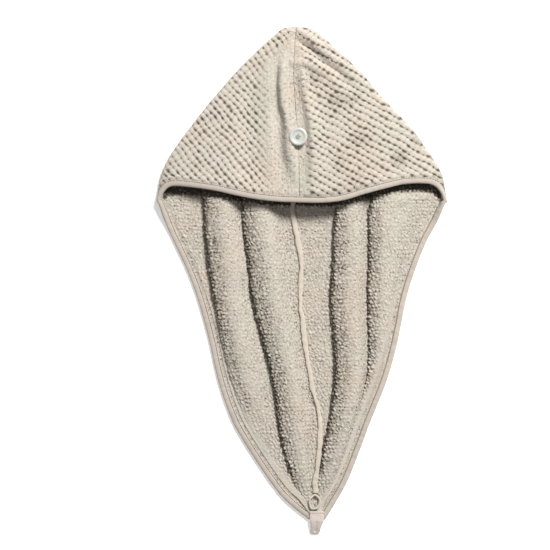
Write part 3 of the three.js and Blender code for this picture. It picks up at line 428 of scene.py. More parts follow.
def middle_surface(side):
    """Fine middle surface of one half as rows by columns, with each row's number among the coarse
    ones and how open the knit is at each vertex, with painted shade where that value passes 1."""
    grid, at, _, _ = rails(side)
    hood_line = np.hypot(*np.diff(outline(side, HOOD_PLACES), axis=0).T)
    drop = np.abs(np.diff(outline(side, HOOD_PLACES)[:, 1]))
    rows = np.append(spread(hood_line + 2 * drop, HOOD_STEPS)[:-1],
                     MOUTH_ROW + spread(np.abs(np.diff(at[CORNER:, 1])), TAIL_STEPS))
    mouth = np.hypot(*np.diff(grid[12, :CORNER + 1, :2], axis=0).T)
    across = np.append(spread(mouth, FRONT_STEPS)[:-1], CORNER + spread(np.ones(2), FOLD_STEPS))
    hood, tail = grid[:MOUTH_ROW + 1], grid[MOUTH_ROW + 1:, CORNER:]
    fine = np.full((len(PLACES), len(across), 3), np.nan)
    fine[:MOUTH_ROW + 1] = smooth(hood.swapaxes(0, 1), across).swapaxes(0, 1)
    fine[MOUTH_ROW + 1:, FRONT_STEPS:] = smooth(
        tail.swapaxes(0, 1), across[FRONT_STEPS:] - CORNER).swapaxes(0, 1)
    fine[MOUTH_ROW + 1, :FRONT_STEPS] = (2 * fine[MOUTH_ROW] - fine[MOUTH_ROW - 1])[:FRONT_STEPS]
    surface = np.full((len(rows), len(across), 3), np.nan)
    surface[:, FRONT_STEPS:] = smooth(fine[:, FRONT_STEPS:], rows)
    in_hood = rows <= MOUTH_ROW
    surface[in_hood, :FRONT_STEPS] = smooth(fine[:MOUTH_ROW + 2, :FRONT_STEPS], rows[in_hood])
    place = smooth(PLACES, rows)
    place = np.clip(place, 0, 2)

    start = surface[:, -1]
    seam = np.column_stack([back_seam(side, place), start[:, 1], 0 * place])
    tail_y = -TAIL_LENGTH * column(TAIL, "down", place - 1)
    seam[:, 1] = np.where(place > 1, mix(tail_y, start[:, 1], np.clip(place - 1, 0, 1)), seam[:, 1])
    share, height, lean, open_knit_and_shade = columns_of_back(side, place, BACK_STEPS[side])
    back = mix(seam[:, None], start[:, None], share[..., None])
    risen = (np.minimum(place, 1) ** 2)[:, None]
    back[..., 0] -= FOLD_LEAN * lean * risen
    from_edge = (1 - share) * np.abs(seam[:, :1] - start[:, :1])
    pressed = mix(1, fade(from_edge, *PRESSED_BESIDE[side]), fade(place, 1.15, 1.5)[:, None])
    open_knit_and_shade = open_knit_and_shade * mix(0.15, 1, pressed)
    level = mix(LEVEL, BAND_HALF, fade(rows, len(PLACES) - 4, len(PLACES) - 2))
    back[..., 2] = level[:, None] + FOLD_HEIGHT * height * risen
    # Painted shadow of the hood's mouth edge: the colour of the tail just below the edge is darkened, by
    # an openness value past 1.
    rim = surface[in_hood][-1, :FRONT_STEPS][::side]
    below = np.interp(back[..., 0], rim[:, 0], rim[:, 1]) - back[..., 1]
    reach = mix(*MOUTH_SHADOW_REACH, np.abs(back[..., 0]) / HALF_WIDTH)
    under = fade(below, -30, 0) * (1 - fade(below, 0.35 * reach, reach))
    open_knit_and_shade = np.maximum(open_knit_and_shade, MOUTH_PAINTED_SHADOW * under)
    whole = np.concatenate([surface[:, :-1], back], 1)
    front = np.ix_(in_hood, np.arange(FRONT_STEPS + 1))
    to_fold = np.clip(across[:FRONT_STEPS + 1] / (CORNER - 1), 0, 1)
    rise, over = relief(whole[front][..., 0], whole[front][..., 1])
    whole[front] += np.stack([-over, 0 * rise, rise * (1 - to_fold ** 4)], -1)
    open_knit_and_shade = np.concatenate([FRONT_OPEN + 0 * surface[:, :-1, 0], open_knit_and_shade], 1)
    return whole, rows, open_knit_and_shade


def chance(i, j, seed):
    """A number from 0 to 1 for each square of a grid, without order."""
    return np.modf(np.abs(np.sin(i * 127.1 + j * 311.7 + seed * 74.7) * 43758.5453))[0]


def drift(u, v, size, seed):
    """Slow random height from -1 to 1, with waves of the given size."""
    cu, cv = u / size, v / size
    iu, iv = np.floor(cu), np.floor(cv)
    tu, tv = fade(cu - iu, 0, 1), fade(cv - iv, 0, 1)
    low = mix(chance(iu, iv, seed), chance(iu + 1, iv, seed), tu)
    high = mix(chance(iu, iv + 1, seed), chance(iu + 1, iv + 1, seed), tu)
    return 2 * mix(low, high, tv) - 1


def nubs(u, v, size, seed):
    """Heights from 0 in the gaps to 1 on the tops of round nubs, one in each square of the given
    size. Each nub is moved within its square at random, and gaps lie halfway between nubs."""
    cu, cv = u / size, v / size
    iu, iv = np.floor(cu), np.floor(cv)
    near, second, tone = np.full(u.shape, 9.0), np.full(u.shape, 9.0), np.zeros(u.shape)
    for du, dv in [(a, b) for a in (-1, 0, 1) for b in (-1, 0, 1)]:
        ju, jv = iu + du, iv + dv
        away = np.hypot(ju + 0.5 + 0.8 * (chance(ju, jv, seed) - 0.5) - cu,
                        jv + 0.5 + 0.8 * (chance(ju, jv, seed + 1) - 0.5) - cv)
        second = np.minimum(second, np.maximum(near, away))
        tone = np.where(away < near, chance(ju, jv, seed + 2), tone)
        near = np.minimum(near, away)
    return fade(second - near, 0, 0.6) * (1 - 0.45 * near ** 2) * (0.6 + 0.4 * tone)


# Ropes of beads in the knit of each half of the hood: the angles of the two families of grooves below the
# horizontal in degrees, and their spacings.
ROPES = {-1: ((51, -35), (7.0, 6.8)), 1: ((30, -50), (7.6, 6.5))}

# How far the smooth band at the hood's centre reaches, how open the hood's knit is, how light the
# tops of its pile are, and how far the pile stands up outside and inside, in millimetres. The right
# half of the hood is painted darker as shade: its pile tops darker and its knit more open, past 1
# into painted shade.
SMOOTH_BAND = {-1: 38, 1: 13}
HOOD_OPEN_AND_SHADE = {-1: 0.86, 1: 1.04}
HOOD_TONE_AND_SHADE = {-1: 0.82, 1: 0.74}
OUTER_PILE = 1.5
INNER_PILE = 2.6


def lattice(u, v, angles, spaces, seed):
    """Which groove of each family a place is at: whole numbers lie in the grooves. The grooves
    are slightly crooked."""
    u = u + 1.2 * drift(u, v, 19, seed) + 1.0 * drift(u, v, 7, seed + 3)
    v = v + 1.2 * drift(u, v, 17, seed + 1) + 1.0 * drift(u, v, 6, seed + 4)
    return [(u * np.sin(np.radians(a)) + v * np.cos(np.radians(a))) / s for a, s in zip(angles, spaces)]


def knit(side, middle, open_knit_and_shade):
    """Pile height from 0 to 1 at each vertex of the outside and of the inside, and the marks that
    the material reads: groove numbers and share of rope knit, then place along the cloth and how
    open the knit is there, which past 1 is painted shade."""
    step = middle[:, 1:] - middle[:, :-1]
    plan = np.abs(step[..., 0])
    step = np.linalg.norm(step, axis=-1)
    step[:, :FRONT_STEPS] = plan[:, :FRONT_STEPS]
    none = np.zeros(len(step))
    y = np.nan_to_num(middle[..., 1])
    u_front = side * np.nancumsum(np.column_stack([none, step]), axis=1)
    u_back = side * np.column_stack([np.nancumsum(step[:, ::-1], axis=1)[:, ::-1], none])
    on_back = np.arange(middle.shape[1]) >= FRONT_STEPS + FOLD_STEPS
    u_out = np.where(on_back, u_back + 400, u_front)
    ropes, cuts = lattice(u_out, y, *ROPES[side], 5 + side)
    cuts = cuts + 0.5 * (chance(np.floor(ropes + 0.5), 0 * cuts, 9 + side) - 0.5)
    beads = np.abs(np.sin(np.pi * ropes)) ** 0.6 * (0.45 + 0.55 * np.abs(np.sin(np.pi * cuts)) ** 0.7)
    beads = 0.8 * beads + 0.25 * nubs(u_out, y, 3.2, 71 + side)
    reach = mix(0.25, 1, fade(HOOD_HEIGHT - y, 10, 60)) * SMOOTH_BAND[side]
    centre = 0.85 * (1 - fade((np.abs(u_front) + 6 * drift(u_front, y, 15, 3)) / reach, 0.75, 1.35))
    outer = mix(beads, 0.5 + 0.4 * nubs(u_front, y, 4.6, 21 + side), centre)
    open_knit_and_shade = np.clip(open_knit_and_shade + 0.15 * drift(u_back, y, 8, 51 + side), 0.05, DARKEST)
    inner = nubs(u_back * 1.05 + 0.35 * y, y, 4.6, 31 + side)
    inner = mix(inner, nubs(u_back, 0.8 * y, 2.8, 41 + side), 0.3)
    inner = 0.6 + 1.2 * (inner - 0.5) * np.minimum(open_knit_and_shade, 1.1)
    # Past 1, mostly on the right half, this openness is painted shade.
    open_front_and_shade = HOOD_OPEN_AND_SHADE[side] - 0.42 * centre + 0.3 * drift(u_out, y, 24, 61 + side)
    weave = np.stack([ropes, cuts, 1 - centre], -1)
    no_weave = np.stack([ropes, cuts, 0 * cuts], -1)
    places = [np.stack([u_out, y, open_front_and_shade], -1), np.stack([u_back, y, open_knit_and_shade], -1)]
    return outer, inner, (weave, no_weave), places


def in_blocks(fine_outer, fine_inner, valid):
    """Faces of a closed wall on two sheets of the same grid. Blocks of three by three cells are
    split where fine is true, and stay one face elsewhere, with extra corners beside split ones."""
    rows, cols = valid.shape[0] * 3 + 1, valid.shape[1] * 3 + 1
    index = np.arange(rows * cols).reshape(rows, cols)
    faces = []
    i, j = np.mgrid[0:valid.shape[0], 0:valid.shape[1]]
    around = {"up": (-1, 0), "right": (0, 1), "down": (1, 0), "left": (0, -1)}

    def moved(mask, down, right):
        """The mask as the block that many blocks down and to the right has it."""
        return np.pad(mask, 1)[1 + down:1 + down + mask.shape[0], 1 + right:1 + right + mask.shape[1]]

    def side_points(block_i, block_j, side):
        """The four vertices along one side of each block, clockwise."""
        k = np.arange(4)
        r = {"up": 0 * k, "right": k, "down": 0 * k + 3, "left": 3 - k}[side]
        c = {"up": k, "right": 0 * k + 3, "down": 3 - k, "left": 0 * k}[side]
        return index[3 * block_i[:, None] + r, 3 * block_j[:, None] + c]

    for sheet, fine, other in ((0, fine_outer, fine_inner), (1, fine_inner, fine_outer)):
        shift = sheet * rows * cols
        split = valid & fine
        bi, bj = i[split], j[split]
        r, c = np.mgrid[0:3, 0:3]
        r = 3 * bi[:, None] + r.ravel()
        c = 3 * bj[:, None] + c.ravel()
        quads = np.stack([index[r, c], index[r, c + 1], index[r + 1, c + 1], index[r + 1, c]], -1)
        faces.append(quads.reshape(-1, 4)[:, ::-1 if sheet else 1] + shift)
        whole = valid & ~fine
        near_split = {name: moved(split, di, dj) for name, (di, dj) in around.items()}
        for flags in range(16):
            names = list(around)
            same = whole.copy()
            for bit, name in enumerate(names):
                same &= near_split[name] == bool(flags >> bit & 1)
            if not same.any():
                continue
            bi, bj = i[same], j[same]
            ring = np.concatenate([side_points(bi, bj, name)[:, :3 if flags >> bit & 1 else 1]
                                   for bit, name in enumerate(names)], 1)
            faces.append(ring[:, ::-1 if sheet else 1] + shift)
        # The rim between the sheets, where a block has no neighbour.
        if sheet == 0:
            for name, (di, dj) in around.items():
                bare = valid & ~moved(valid, di, dj)
                for here in (False, True):
                    for there in (False, True):
                        same = bare & (fine == here) & (other == there)
                        if not same.any():
                            continue
                        line = side_points(i[same], j[same], name)
                        top = line if here else line[:, ::3]
                        low = line if there else line[:, ::3]
                        faces.append(np.concatenate([top[:, ::-1], low + rows * cols], 1))
    return faces


def mesh_object(name, points, faces, material, marks=None):
    """A smooth mesh object from points in millimetres, groups of faces as index arrays, and one
    number or vector a point for each named mark. Points that no face uses are left out."""
    used = np.unique(np.concatenate([group.ravel() for group in faces]))
    new = np.full(len(points), -1)
    new[used] = np.arange(len(used))
    mesh = bpy.data.meshes.new(name)
    corners = new[np.concatenate([group.ravel() for group in faces])]
    counts = np.concatenate([np.full(len(group), group.shape[1]) for group in faces])
    mesh.vertices.add(len(used))
    mesh.vertices.foreach_set("co", ((points[used] + [0, MOUTH_Y, 0]) * 0.001).ravel())
    mesh.loops.add(len(corners))
    mesh.loops.foreach_set("vertex_index", corners)
    mesh.polygons.add(len(counts))
    mesh.polygons.foreach_set("loop_start", np.append(0, np.cumsum(counts)[:-1]))
    mesh.update(calc_edges=True)
    mesh.shade_smooth()
    for key, values in (marks or {}).items():
        kind, field = ("FLOAT", "value") if values.ndim == 1 else ("FLOAT_VECTOR", "vector")
        mesh.attributes.new(key, kind, "POINT").data.foreach_set(field, values[used].ravel())
    mesh.materials.append(material)
    made = bpy.data.objects.new(name, mesh)
    bpy.context.collection.objects.link(made)
    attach(made, "root")
    return made


def cloth_half(side, name, material):
    """One half of the cloth as a closed wall with its pile."""
    middle, rows, open_knit_and_shade = middle_surface(side)
    n_rows, n_cols = middle.shape[:2]
    filled = middle.copy()
    beyond_mouth = 2 * middle[HOOD_STEPS] - middle[HOOD_STEPS - 1]
    filled[HOOD_STEPS + 1, :FRONT_STEPS] = beyond_mouth[:FRONT_STEPS]
    filled[HOOD_STEPS + 1:, FRONT_STEPS - 1] = (2 * middle[HOOD_STEPS + 1:, FRONT_STEPS]
                                               - middle[HOOD_STEPS + 1:, FRONT_STEPS + 1])
    normal = unit(np.cross(np.gradient(filled, axis=1), np.gradient(filled, axis=0)) * -side)
    normal[0] = normal[1]
    r, c = rows[:, None], np.arange(n_cols)[None, :]
    thin = np.where(c < FRONT_STEPS, fade(MOUTH_ROW - r, 0.75, 1.35), 1.0)
    beyond = (c >= FRONT_STEPS) & (r >= MOUTH_ROW - 0.6)
    thin = np.where(beyond, fade(c - FRONT_STEPS + 8 * np.clip(MOUTH_ROW - r, 0, 1),
                                 FOLD_STEPS / 2 + 1, FOLD_STEPS + 3), thin)
    thickness = mix(PRESSED, CLOTH, thin)
    outer, inner, weave, places = knit(side, middle, open_knit_and_shade)
    at_seam = fade(np.minimum(c, n_cols - 1 - c) + 0 * r, -1, 2)
    full = thin * at_seam
    top = middle + normal * (thickness / 2 + OUTER_PILE * (outer - 0.45) * full)[..., None]
    low = middle - normal * (thickness / 2 + INNER_PILE * (inner - 0.5) * full)[..., None]

    bi, bj = np.mgrid[0:(n_rows - 1) // 3, 0:(n_cols - 1) // 3]
    valid = (bi < HOOD_STEPS // 3) | (bj >= FRONT_STEPS // 3)
    fine = (valid & (bi < HOOD_STEPS // 3) & (bj < (FRONT_STEPS + 6) // 3),
            valid & (bi > HOOD_STEPS // 3 - 13) & (bj >= FRONT_STEPS // 3 + 2))
    faces = in_blocks(*fine, valid)
    corner_of_fine = [np.pad(np.repeat(np.repeat(f, 3, 0), 3, 1), 1) for f in fine]
    real = [(f[:-1, :-1] | f[:-1, 1:] | f[1:, :-1] | f[1:, 1:]).ravel() for f in corner_of_fine]
    # The pile sets the colour: low pile between the nubs is painted shade, and the right half of the hood
    # gets darker pile tops as painted shade.
    marks = {"pile": np.concatenate([HOOD_TONE_AND_SHADE[side] * outer.ravel(), inner.ravel()]),
             "real": np.concatenate(real).astype(float),
             "weave": np.concatenate([w.reshape(-1, 3) for w in weave]),
             "place": np.concatenate([p.reshape(-1, 3) for p in places])}
    points = np.concatenate([top.reshape(-1, 3), low.reshape(-1, 3)])
    points[:, 2] = np.maximum(points[:, 2], FLOOR_GAP)
    return mesh_object(name, points, faces, material, marks)


def node(tree, kind, place, settings=None, **inputs):
    """A shader node at a place on the sheet, with settings and with inputs that are values or the
    sockets that feed them."""
    made = tree.nodes.new(kind)
    made.location = (place[0] * 200, place[1] * -200)
    for key, value in (settings or {}).items():
        setattr(made, key, value)
    for key, value in inputs.items():
        socket = made.inputs[int(key[1:])] if key[0] == "i" and key[1:].isdigit() else (
            made.inputs[key.replace("_", " ")])
        if isinstance(value, bpy.types.NodeSocket):
            tree.links.new(value, socket)
        else:
            socket.default_value = value
    return made


def math_node(tree, operation, place, *values):
    """The output of a maths node."""
    return node(tree, "ShaderNodeMath", place, {"operation": operation},
                **{f"i{k}": v for k, v in enumerate(values)}).outputs[0]


def ramp(tree, place, fac, stops):
    """A colour ramp through stops of position and colour."""
    made = node(tree, "ShaderNodeValToRGB", place, Fac=fac)
    elements = made.color_ramp.elements
    while len(elements) < len(stops):
        elements.new(1)
    for element, (position, color) in zip(elements, stops):
        element.position = position
        element.color = (*color, 1)
    return made.outputs["Color"]


def effect_group(name, inputs, outputs):
    """A new node group with its sockets, and its input and output nodes."""
    group = bpy.data.node_groups.new(name, "ShaderNodeTree")
    for label, kind, value in inputs:
        socket = group.interface.new_socket(label, in_out="INPUT", socket_type=kind)
        if value is not None:
            socket.default_value = value
    for label, kind in outputs:
        group.interface.new_socket(label, in_out="OUTPUT", socket_type=kind)
    start = group.nodes.new("NodeGroupInput")
    end = group.nodes.new("NodeGroupOutput")
    start.location, end.location = (-400, 0), (1800, 0)
    return group, start, end


def yarn_group():
    """Fibres and small loops: a speckle that lightens and darkens the yarn, and its height."""
    group, start, end = effect_group(
        "yarn", [("Position", "NodeSocketVector", None), ("Loop Size", "NodeSocketFloat", 0.0011)],
        [("Speckle", "NodeSocketFloat"), ("Height", "NodeSocketFloat"), ("Tint", "NodeSocketFloat")])
    scale = math_node(group, "DIVIDE", (0, 1), 1.0, start.outputs["Loop Size"])
    loops = node(group, "ShaderNodeTexVoronoi", (1, 0), {"feature": "F1"},
                 Vector=start.outputs["Position"], Scale=scale, Randomness=1.0)
    fibre = node(group, "ShaderNodeTexNoise", (1, 1), Vector=start.outputs["Position"],
                 Scale=2600.0, Detail=2.0, Roughness=0.6)
    slow = node(group, "ShaderNodeTexNoise", (1, 2), Vector=start.outputs["Position"],
                Scale=22.0, Detail=2.0, Roughness=0.5)
    dome = math_node(group, "SUBTRACT", (2, 0), 1.0, loops.outputs["Distance"])
    height = math_node(group, "MULTIPLY_ADD", (3, 0), fibre.outputs["Fac"], 0.5, dome)
    group.links.new(height, end.inputs["Height"])
    group.links.new(math_node(group, "MULTIPLY_ADD", (3, 1), fibre.outputs["Fac"], 0.6,
                              math_node(group, "MULTIPLY", (3, 2), dome, 0.5)), end.inputs["Speckle"])
    group.links.new(slow.outputs["Fac"], end.inputs["Tint"])
    return group


def pit_group():
    """Small dark pits between the loops of the knit, painted shade in its holes: long ones where
    grooves of the two families cross, and round ones strewn at random. Weave holds groove numbers
    and the share of rope knit, Place the millimetres along the cloth and how open the knit is."""
    group, start, end = effect_group(
        "pits", [("Weave", "NodeSocketVector", None), ("Place", "NodeSocketVector", None)],
        [("Pit", "NodeSocketFloat")])
    weave = node(group, "ShaderNodeSeparateXYZ", (0, 0), Vector=start.outputs["Weave"])
    rope, cut, share = weave.outputs
    across = math_node(group, "MULTIPLY", (2, 0), math_node(group, "PINGPONG", (1, 0), rope, 0.5), 6.2)
    along = math_node(group, "MULTIPLY", (2, 1), math_node(group, "PINGPONG", (1, 1), cut, 0.5), 3.2)
    away = math_node(group, "SQRT", (4, 0), math_node(
        group, "ADD", (3, 0), math_node(group, "MULTIPLY", (2.5, 0), across, across),
        math_node(group, "MULTIPLY", (2.5, 1), along, along)))
    vector = lambda place, operation, **inputs: node(
        group, "ShaderNodeVectorMath", place, {"operation": operation}, **inputs).outputs[0]
    shifted = vector((0.5, 2), "ADD", i0=start.outputs["Weave"], i1=(0.5, 0.5, 0))
    flat = vector((0.8, 2), "MULTIPLY", i0=shifted, i1=(1, 1, 0))
    cell = vector((1, 2), "FLOOR", i0=flat)
    luck = node(group, "ShaderNodeTexWhiteNoise", (2, 2), {"noise_dimensions": "2D"},
                Vector=cell)
    size = math_node(group, "MULTIPLY_ADD", (3, 2), luck.outputs["Value"], 1.2, 0.35)
    ordered = node(group, "ShaderNodeMapRange", (5, 0), {"interpolation_type": "SMOOTHSTEP"},
                   Value=math_node(group, "DIVIDE", (4, 1), away, size), From_Min=0.0,
                   From_Max=1.7, To_Min=0.75, To_Max=0.0).outputs["Result"]
    strewn = []
    for k, (scale, low, high) in enumerate([(0.26, 0.12, 0.42), (0.42, 0.1, 0.36)]):
        dots = node(group, "ShaderNodeTexVoronoi", (3, 3 + k), {"voronoi_dimensions": "2D"},
                    Vector=start.outputs["Place"], Scale=scale)
        tone = node(group, "ShaderNodeSeparateColor", (4, 3 + k), Color=dots.outputs["Color"])
        mask = node(group, "ShaderNodeMapRange", (5, 3 + k), {"interpolation_type": "SMOOTHSTEP"},
                    Value=dots.outputs["Distance"], From_Min=low, From_Max=high, To_Min=1.0, To_Max=0.0)
        strewn.append(math_node(group, "MULTIPLY", (6, 3 + k), mask.outputs["Result"],
                                math_node(group, "MULTIPLY_ADD", (5, 5 + k), tone.outputs[0], 0.7, 0.0)))
    loose = math_node(group, "MAXIMUM", (7, 3), strewn[0],
                      math_node(group, "MULTIPLY", (7, 4), strewn[1], 0.6))
    both = node(group, "ShaderNodeMix", (8, 0), {"data_type": "FLOAT"}, i0=share, i2=loose, i3=ordered)
    place = node(group, "ShaderNodeSeparateXYZ", (8, 2), Vector=start.outputs["Place"])
    opened = math_node(group, "MULTIPLY", (9, 0), both.outputs[0],
                       math_node(group, "MINIMUM", (8.5, 2), place.outputs[2], 1.0))
    group.links.new(opened, end.inputs["Pit"])
    return group


YARN = yarn_group()
PITS = pit_group()


def new_material(name, roughness, sheen=0.0):
    """A material with a principled shader, and its node tree and shader."""
    material = bpy.data.materials.new(name)
    material.use_nodes = True
    tree = material.node_tree
    tree.nodes.clear()
    shader = node(tree, "ShaderNodeBsdfPrincipled", (10, 0), Roughness=roughness)
    shader.inputs["Sheen Weight"].default_value = sheen
    shader.inputs["Sheen Roughness"].default_value = 0.5
    out = node(tree, "ShaderNodeOutputMaterial", (12, 0))
    tree.links.new(shader.outputs["BSDF"], out.inputs["Surface"])
    return material, tree, shader


def knit_material():
    """Cream knit: light on the tops of the pile, darker between them and dark in the pits, which is
    painted shade in the gaps and holes, and darkest where the openness is past 1, which is painted
    crease shade and a painted shadow below the mouth. Where the pile isn't in the mesh, small bumps of
    the same size stand in for it, with the same painted shade between them."""
    material, tree, shader = new_material("knit", 0.95, 0.2)
    position = node(tree, "ShaderNodeTexCoord", (0, 0)).outputs["Object"]
    marks = {}
    for k, (name, output) in enumerate([("pile", "Fac"), ("real", "Fac"), ("weave", "Vector"),
                                        ("place", "Vector")]):
        mark = node(tree, "ShaderNodeAttribute", (0, 1 + k), {"attribute_name": name})
        marks[name] = mark.outputs[output]
    yarn = node(tree, "ShaderNodeGroup", (1, 0), {"node_tree": YARN}, Position=position)
    pit = node(tree, "ShaderNodeGroup", (1, 4), {"node_tree": PITS}, Weave=marks["weave"],
               Place=marks["place"]).outputs["Pit"]
    nub = node(tree, "ShaderNodeTexVoronoi", (1, 2), {"feature": "DISTANCE_TO_EDGE"},
               Vector=position, Scale=200.0).outputs["Distance"]
    nub = node(tree, "ShaderNodeMapRange", (2, 2), {"interpolation_type": "SMOOTHSTEP"}, Value=nub,
               From_Min=0.0, From_Max=0.4).outputs["Result"]
    pile = node(tree, "ShaderNodeMix", (3, 1), {"data_type": "FLOAT"}, i0=marks["real"], i2=nub,
                i3=marks["pile"])
    light = math_node(tree, "MULTIPLY_ADD", (4, 1), yarn.outputs["Speckle"], 0.5,
                      math_node(tree, "MULTIPLY_ADD", (3, 2), pile.outputs[0], 0.62, 0.05))
    # Painted shade: openness past 1 darkens the colour in the creases, below the mouth and on the hood.
    painted_shade = node(tree, "ShaderNodeMapRange", (3, 6), From_Min=1.0, From_Max=DARKEST, To_Max=0.62,
                  Value=node(tree, "ShaderNodeSeparateXYZ", (2, 6), Vector=marks["place"]).outputs[2])
    shade = math_node(tree, "SUBTRACT", (4.5, 3),
                      math_node(tree, "MULTIPLY_ADD", (4, 3), pit, -0.68, light),
                      painted_shade.outputs["Result"])
    color = ramp(tree, (5, 1), shade, [(0.0, (0.07, 0.056, 0.043)), (0.3, (0.29, 0.25, 0.205)),
                                       (0.6, (0.54, 0.495, 0.435)), (0.95, (0.70, 0.655, 0.595))])
    tint = ramp(tree, (5, 2), yarn.outputs["Tint"], [(0.35, (0.96, 1.0, 0.97)), (0.5, (1, 1, 1)),
                                                     (0.65, (1.0, 0.97, 0.94))])
    tinted = node(tree, "ShaderNodeMix", (6, 1), {"data_type": "RGBA", "blend_type": "MULTIPLY"},
                  i0=1.0, i6=color, i7=tint)
    tree.links.new(tinted.outputs[2], shader.inputs["Base Color"])
    hidden = math_node(tree, "MULTIPLY", (7, 3), nub,
                       math_node(tree, "SUBTRACT", (6, 3), 1.0, marks["real"]))
    high = math_node(tree, "SUBTRACT", (8, 3), hidden, pit)
    big = node(tree, "ShaderNodeBump", (9, 1), Height=high, Strength=0.9, Distance=0.0013)
    small = node(tree, "ShaderNodeBump", (9.5, 1), Height=yarn.outputs["Height"], Strength=0.8,
                 Distance=0.0004, Normal=big.outputs["Normal"])
    tree.links.new(small.outputs["Normal"], shader.inputs["Normal"])
    return material


KNIT = knit_material()
left_cloth = cloth_half(-1, "left_cloth", KNIT)
right_cloth = cloth_half(1, "right_cloth", KNIT)
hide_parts("left_panel")
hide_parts("right_panel")


# Edge binding: a smooth tape folded over the whole free edge, from the tip up one side, round the
# mouth and down the other side, with a line of stitches near its inner border on both faces.
BAND_THICK = 2.4
BAND_NOSE = 1.3
BAND_STEPS = 900
STITCH_IN = 5.3
STITCH_PITCH = 3.0
STITCH_LENGTH = 2.7
STITCH_THICK = 0.9


def free_edge(count):
    """The path of the free edge with its frames: points, ways in and normals, and the length
    along it in millimetres."""
    left, right = rails(-1)[1:], rails(1)[1:]
    at, normal, inward = (np.concatenate([a[:0:-1], (a[:1] + b[:1]) / 2, b[1:]])
                          for a, b in zip(left, right))
    places = spread(np.linalg.norm(np.diff(at, axis=0), axis=1), count)
    at, normal, inward = (smooth(v, places) for v in (at, normal, inward))
    run = unit(np.gradient(at, axis=0))
    normal = unit(normal - run * np.sum(normal * run, -1, keepdims=True))
    flip = np.sign(np.sum(np.cross(run, normal) * inward, -1, keepdims=True))
    length = np.append(0, np.cumsum(np.linalg.norm(np.diff(at, axis=0), axis=1)))
    return at, np.cross(run, normal) * flip, normal, length


def ring_faces(count, points, closed):
    """Four-sided faces between a number of rings, each of the given number of points."""
    i = np.arange(count if closed else count - 1)[:, None] * points
    after = (i + points) % (count * points)
    k = np.arange(points)[None, :]
    following = (k + 1) % points
    return np.stack([i + k, i + following, after + following, after + k], -1).reshape(-1, 4)


def sweep(at, inward, normal, profile, closed):
    """Points and faces of a profile of inward and up distances carried along a path. The profile
    is one for all stations or one for each. Faces are turned outward."""
    rings = at[:, None] + inward[:, None] * profile[..., :1] + normal[:, None] * profile[..., 1:]
    n, m = rings.shape[:2]
    quads = ring_faces(n, m, closed)
    points = rings.reshape(-1, 3)
    faces = [quads]
    if not closed:
        faces += [np.arange(m)[None, ::-1], (np.arange(m) + (n - 1) * m)[None]]
    p = points[quads]
    inside_out = np.sum(np.cross(p[:, 1] - p[:, 0], p[:, 3] - p[:, 0]) * p[:, 0]) < 0
    return points, [f[:, ::-1] for f in faces] if inside_out else faces


def rounded(width, height, count, power=2.6):
    """Closed profile of a rectangle with round corners: a superellipse."""
    angle = np.linspace(0, 2 * np.pi, count, endpoint=False)
    round_off = lambda v: np.sign(v) * np.abs(v) ** (2 / power)
    return np.stack([width / 2 * round_off(np.cos(angle)), height / 2 * round_off(np.sin(angle))], -1)


def stitches(name, places, runs, normals, material):
    """Short round-ended threads, each lying along its run."""
    ring = np.linspace(0, 2 * np.pi, 6, endpoint=False)
    along = np.array([-0.5, -0.42, 0.0, 0.42, 0.5]) * STITCH_LENGTH
    wide = np.array([0.15, 0.75, 1.0, 0.75, 0.15]) * STITCH_THICK / 2
    across = np.cross(runs, normals)
    local = (along[None, :, None, None] * runs[:, None, None]
             + (wide[:, None] * np.cos(ring))[None, ..., None] * across[:, None, None]
             + (wide[:, None] * np.sin(ring))[None, ..., None] * normals[:, None, None])
    points = (places[:, None, None] + local).reshape(-1, 3)
    start = np.arange(len(places))[:, None, None] * 30
    caps = np.stack([np.arange(6), 29 - np.arange(6)])
    faces = [(ring_faces(5, 6, False)[None] + start).reshape(-1, 4), (caps[None] + start).reshape(-1, 6)]
    return mesh_object(name, points, faces, material)


def tape_material(name, color, roughness):
    """Smooth woven tape: fine loops of yarn with small changes of tone and height."""
    material, tree, shader = new_material(name, roughness, 0.15)
    position = node(tree, "ShaderNodeTexCoord", (0, 0)).outputs["Object"]
    yarn = node(tree, "ShaderNodeGroup", (1, 0), {"node_tree": YARN}, Position=position)
    yarn.inputs["Loop Size"].default_value = 0.0006
    tone = math_node(tree, "MULTIPLY_ADD", (3, 1), yarn.outputs["Tint"], 0.5,
                     math_node(tree, "MULTIPLY", (2, 1), yarn.outputs["Speckle"], 0.5))
    shade = ramp(tree, (4, 1), tone, [(0.25, tuple(0.78 * c for c in color)), (0.75, color)])
    tree.links.new(shade, shader.inputs["Base Color"])
    bump = node(tree, "ShaderNodeBump", (8, 1), Height=yarn.outputs["Height"], Strength=0.5,
                Distance=0.00025)
    tree.links.new(bump.outputs["Normal"], shader.inputs["Normal"])
    return material


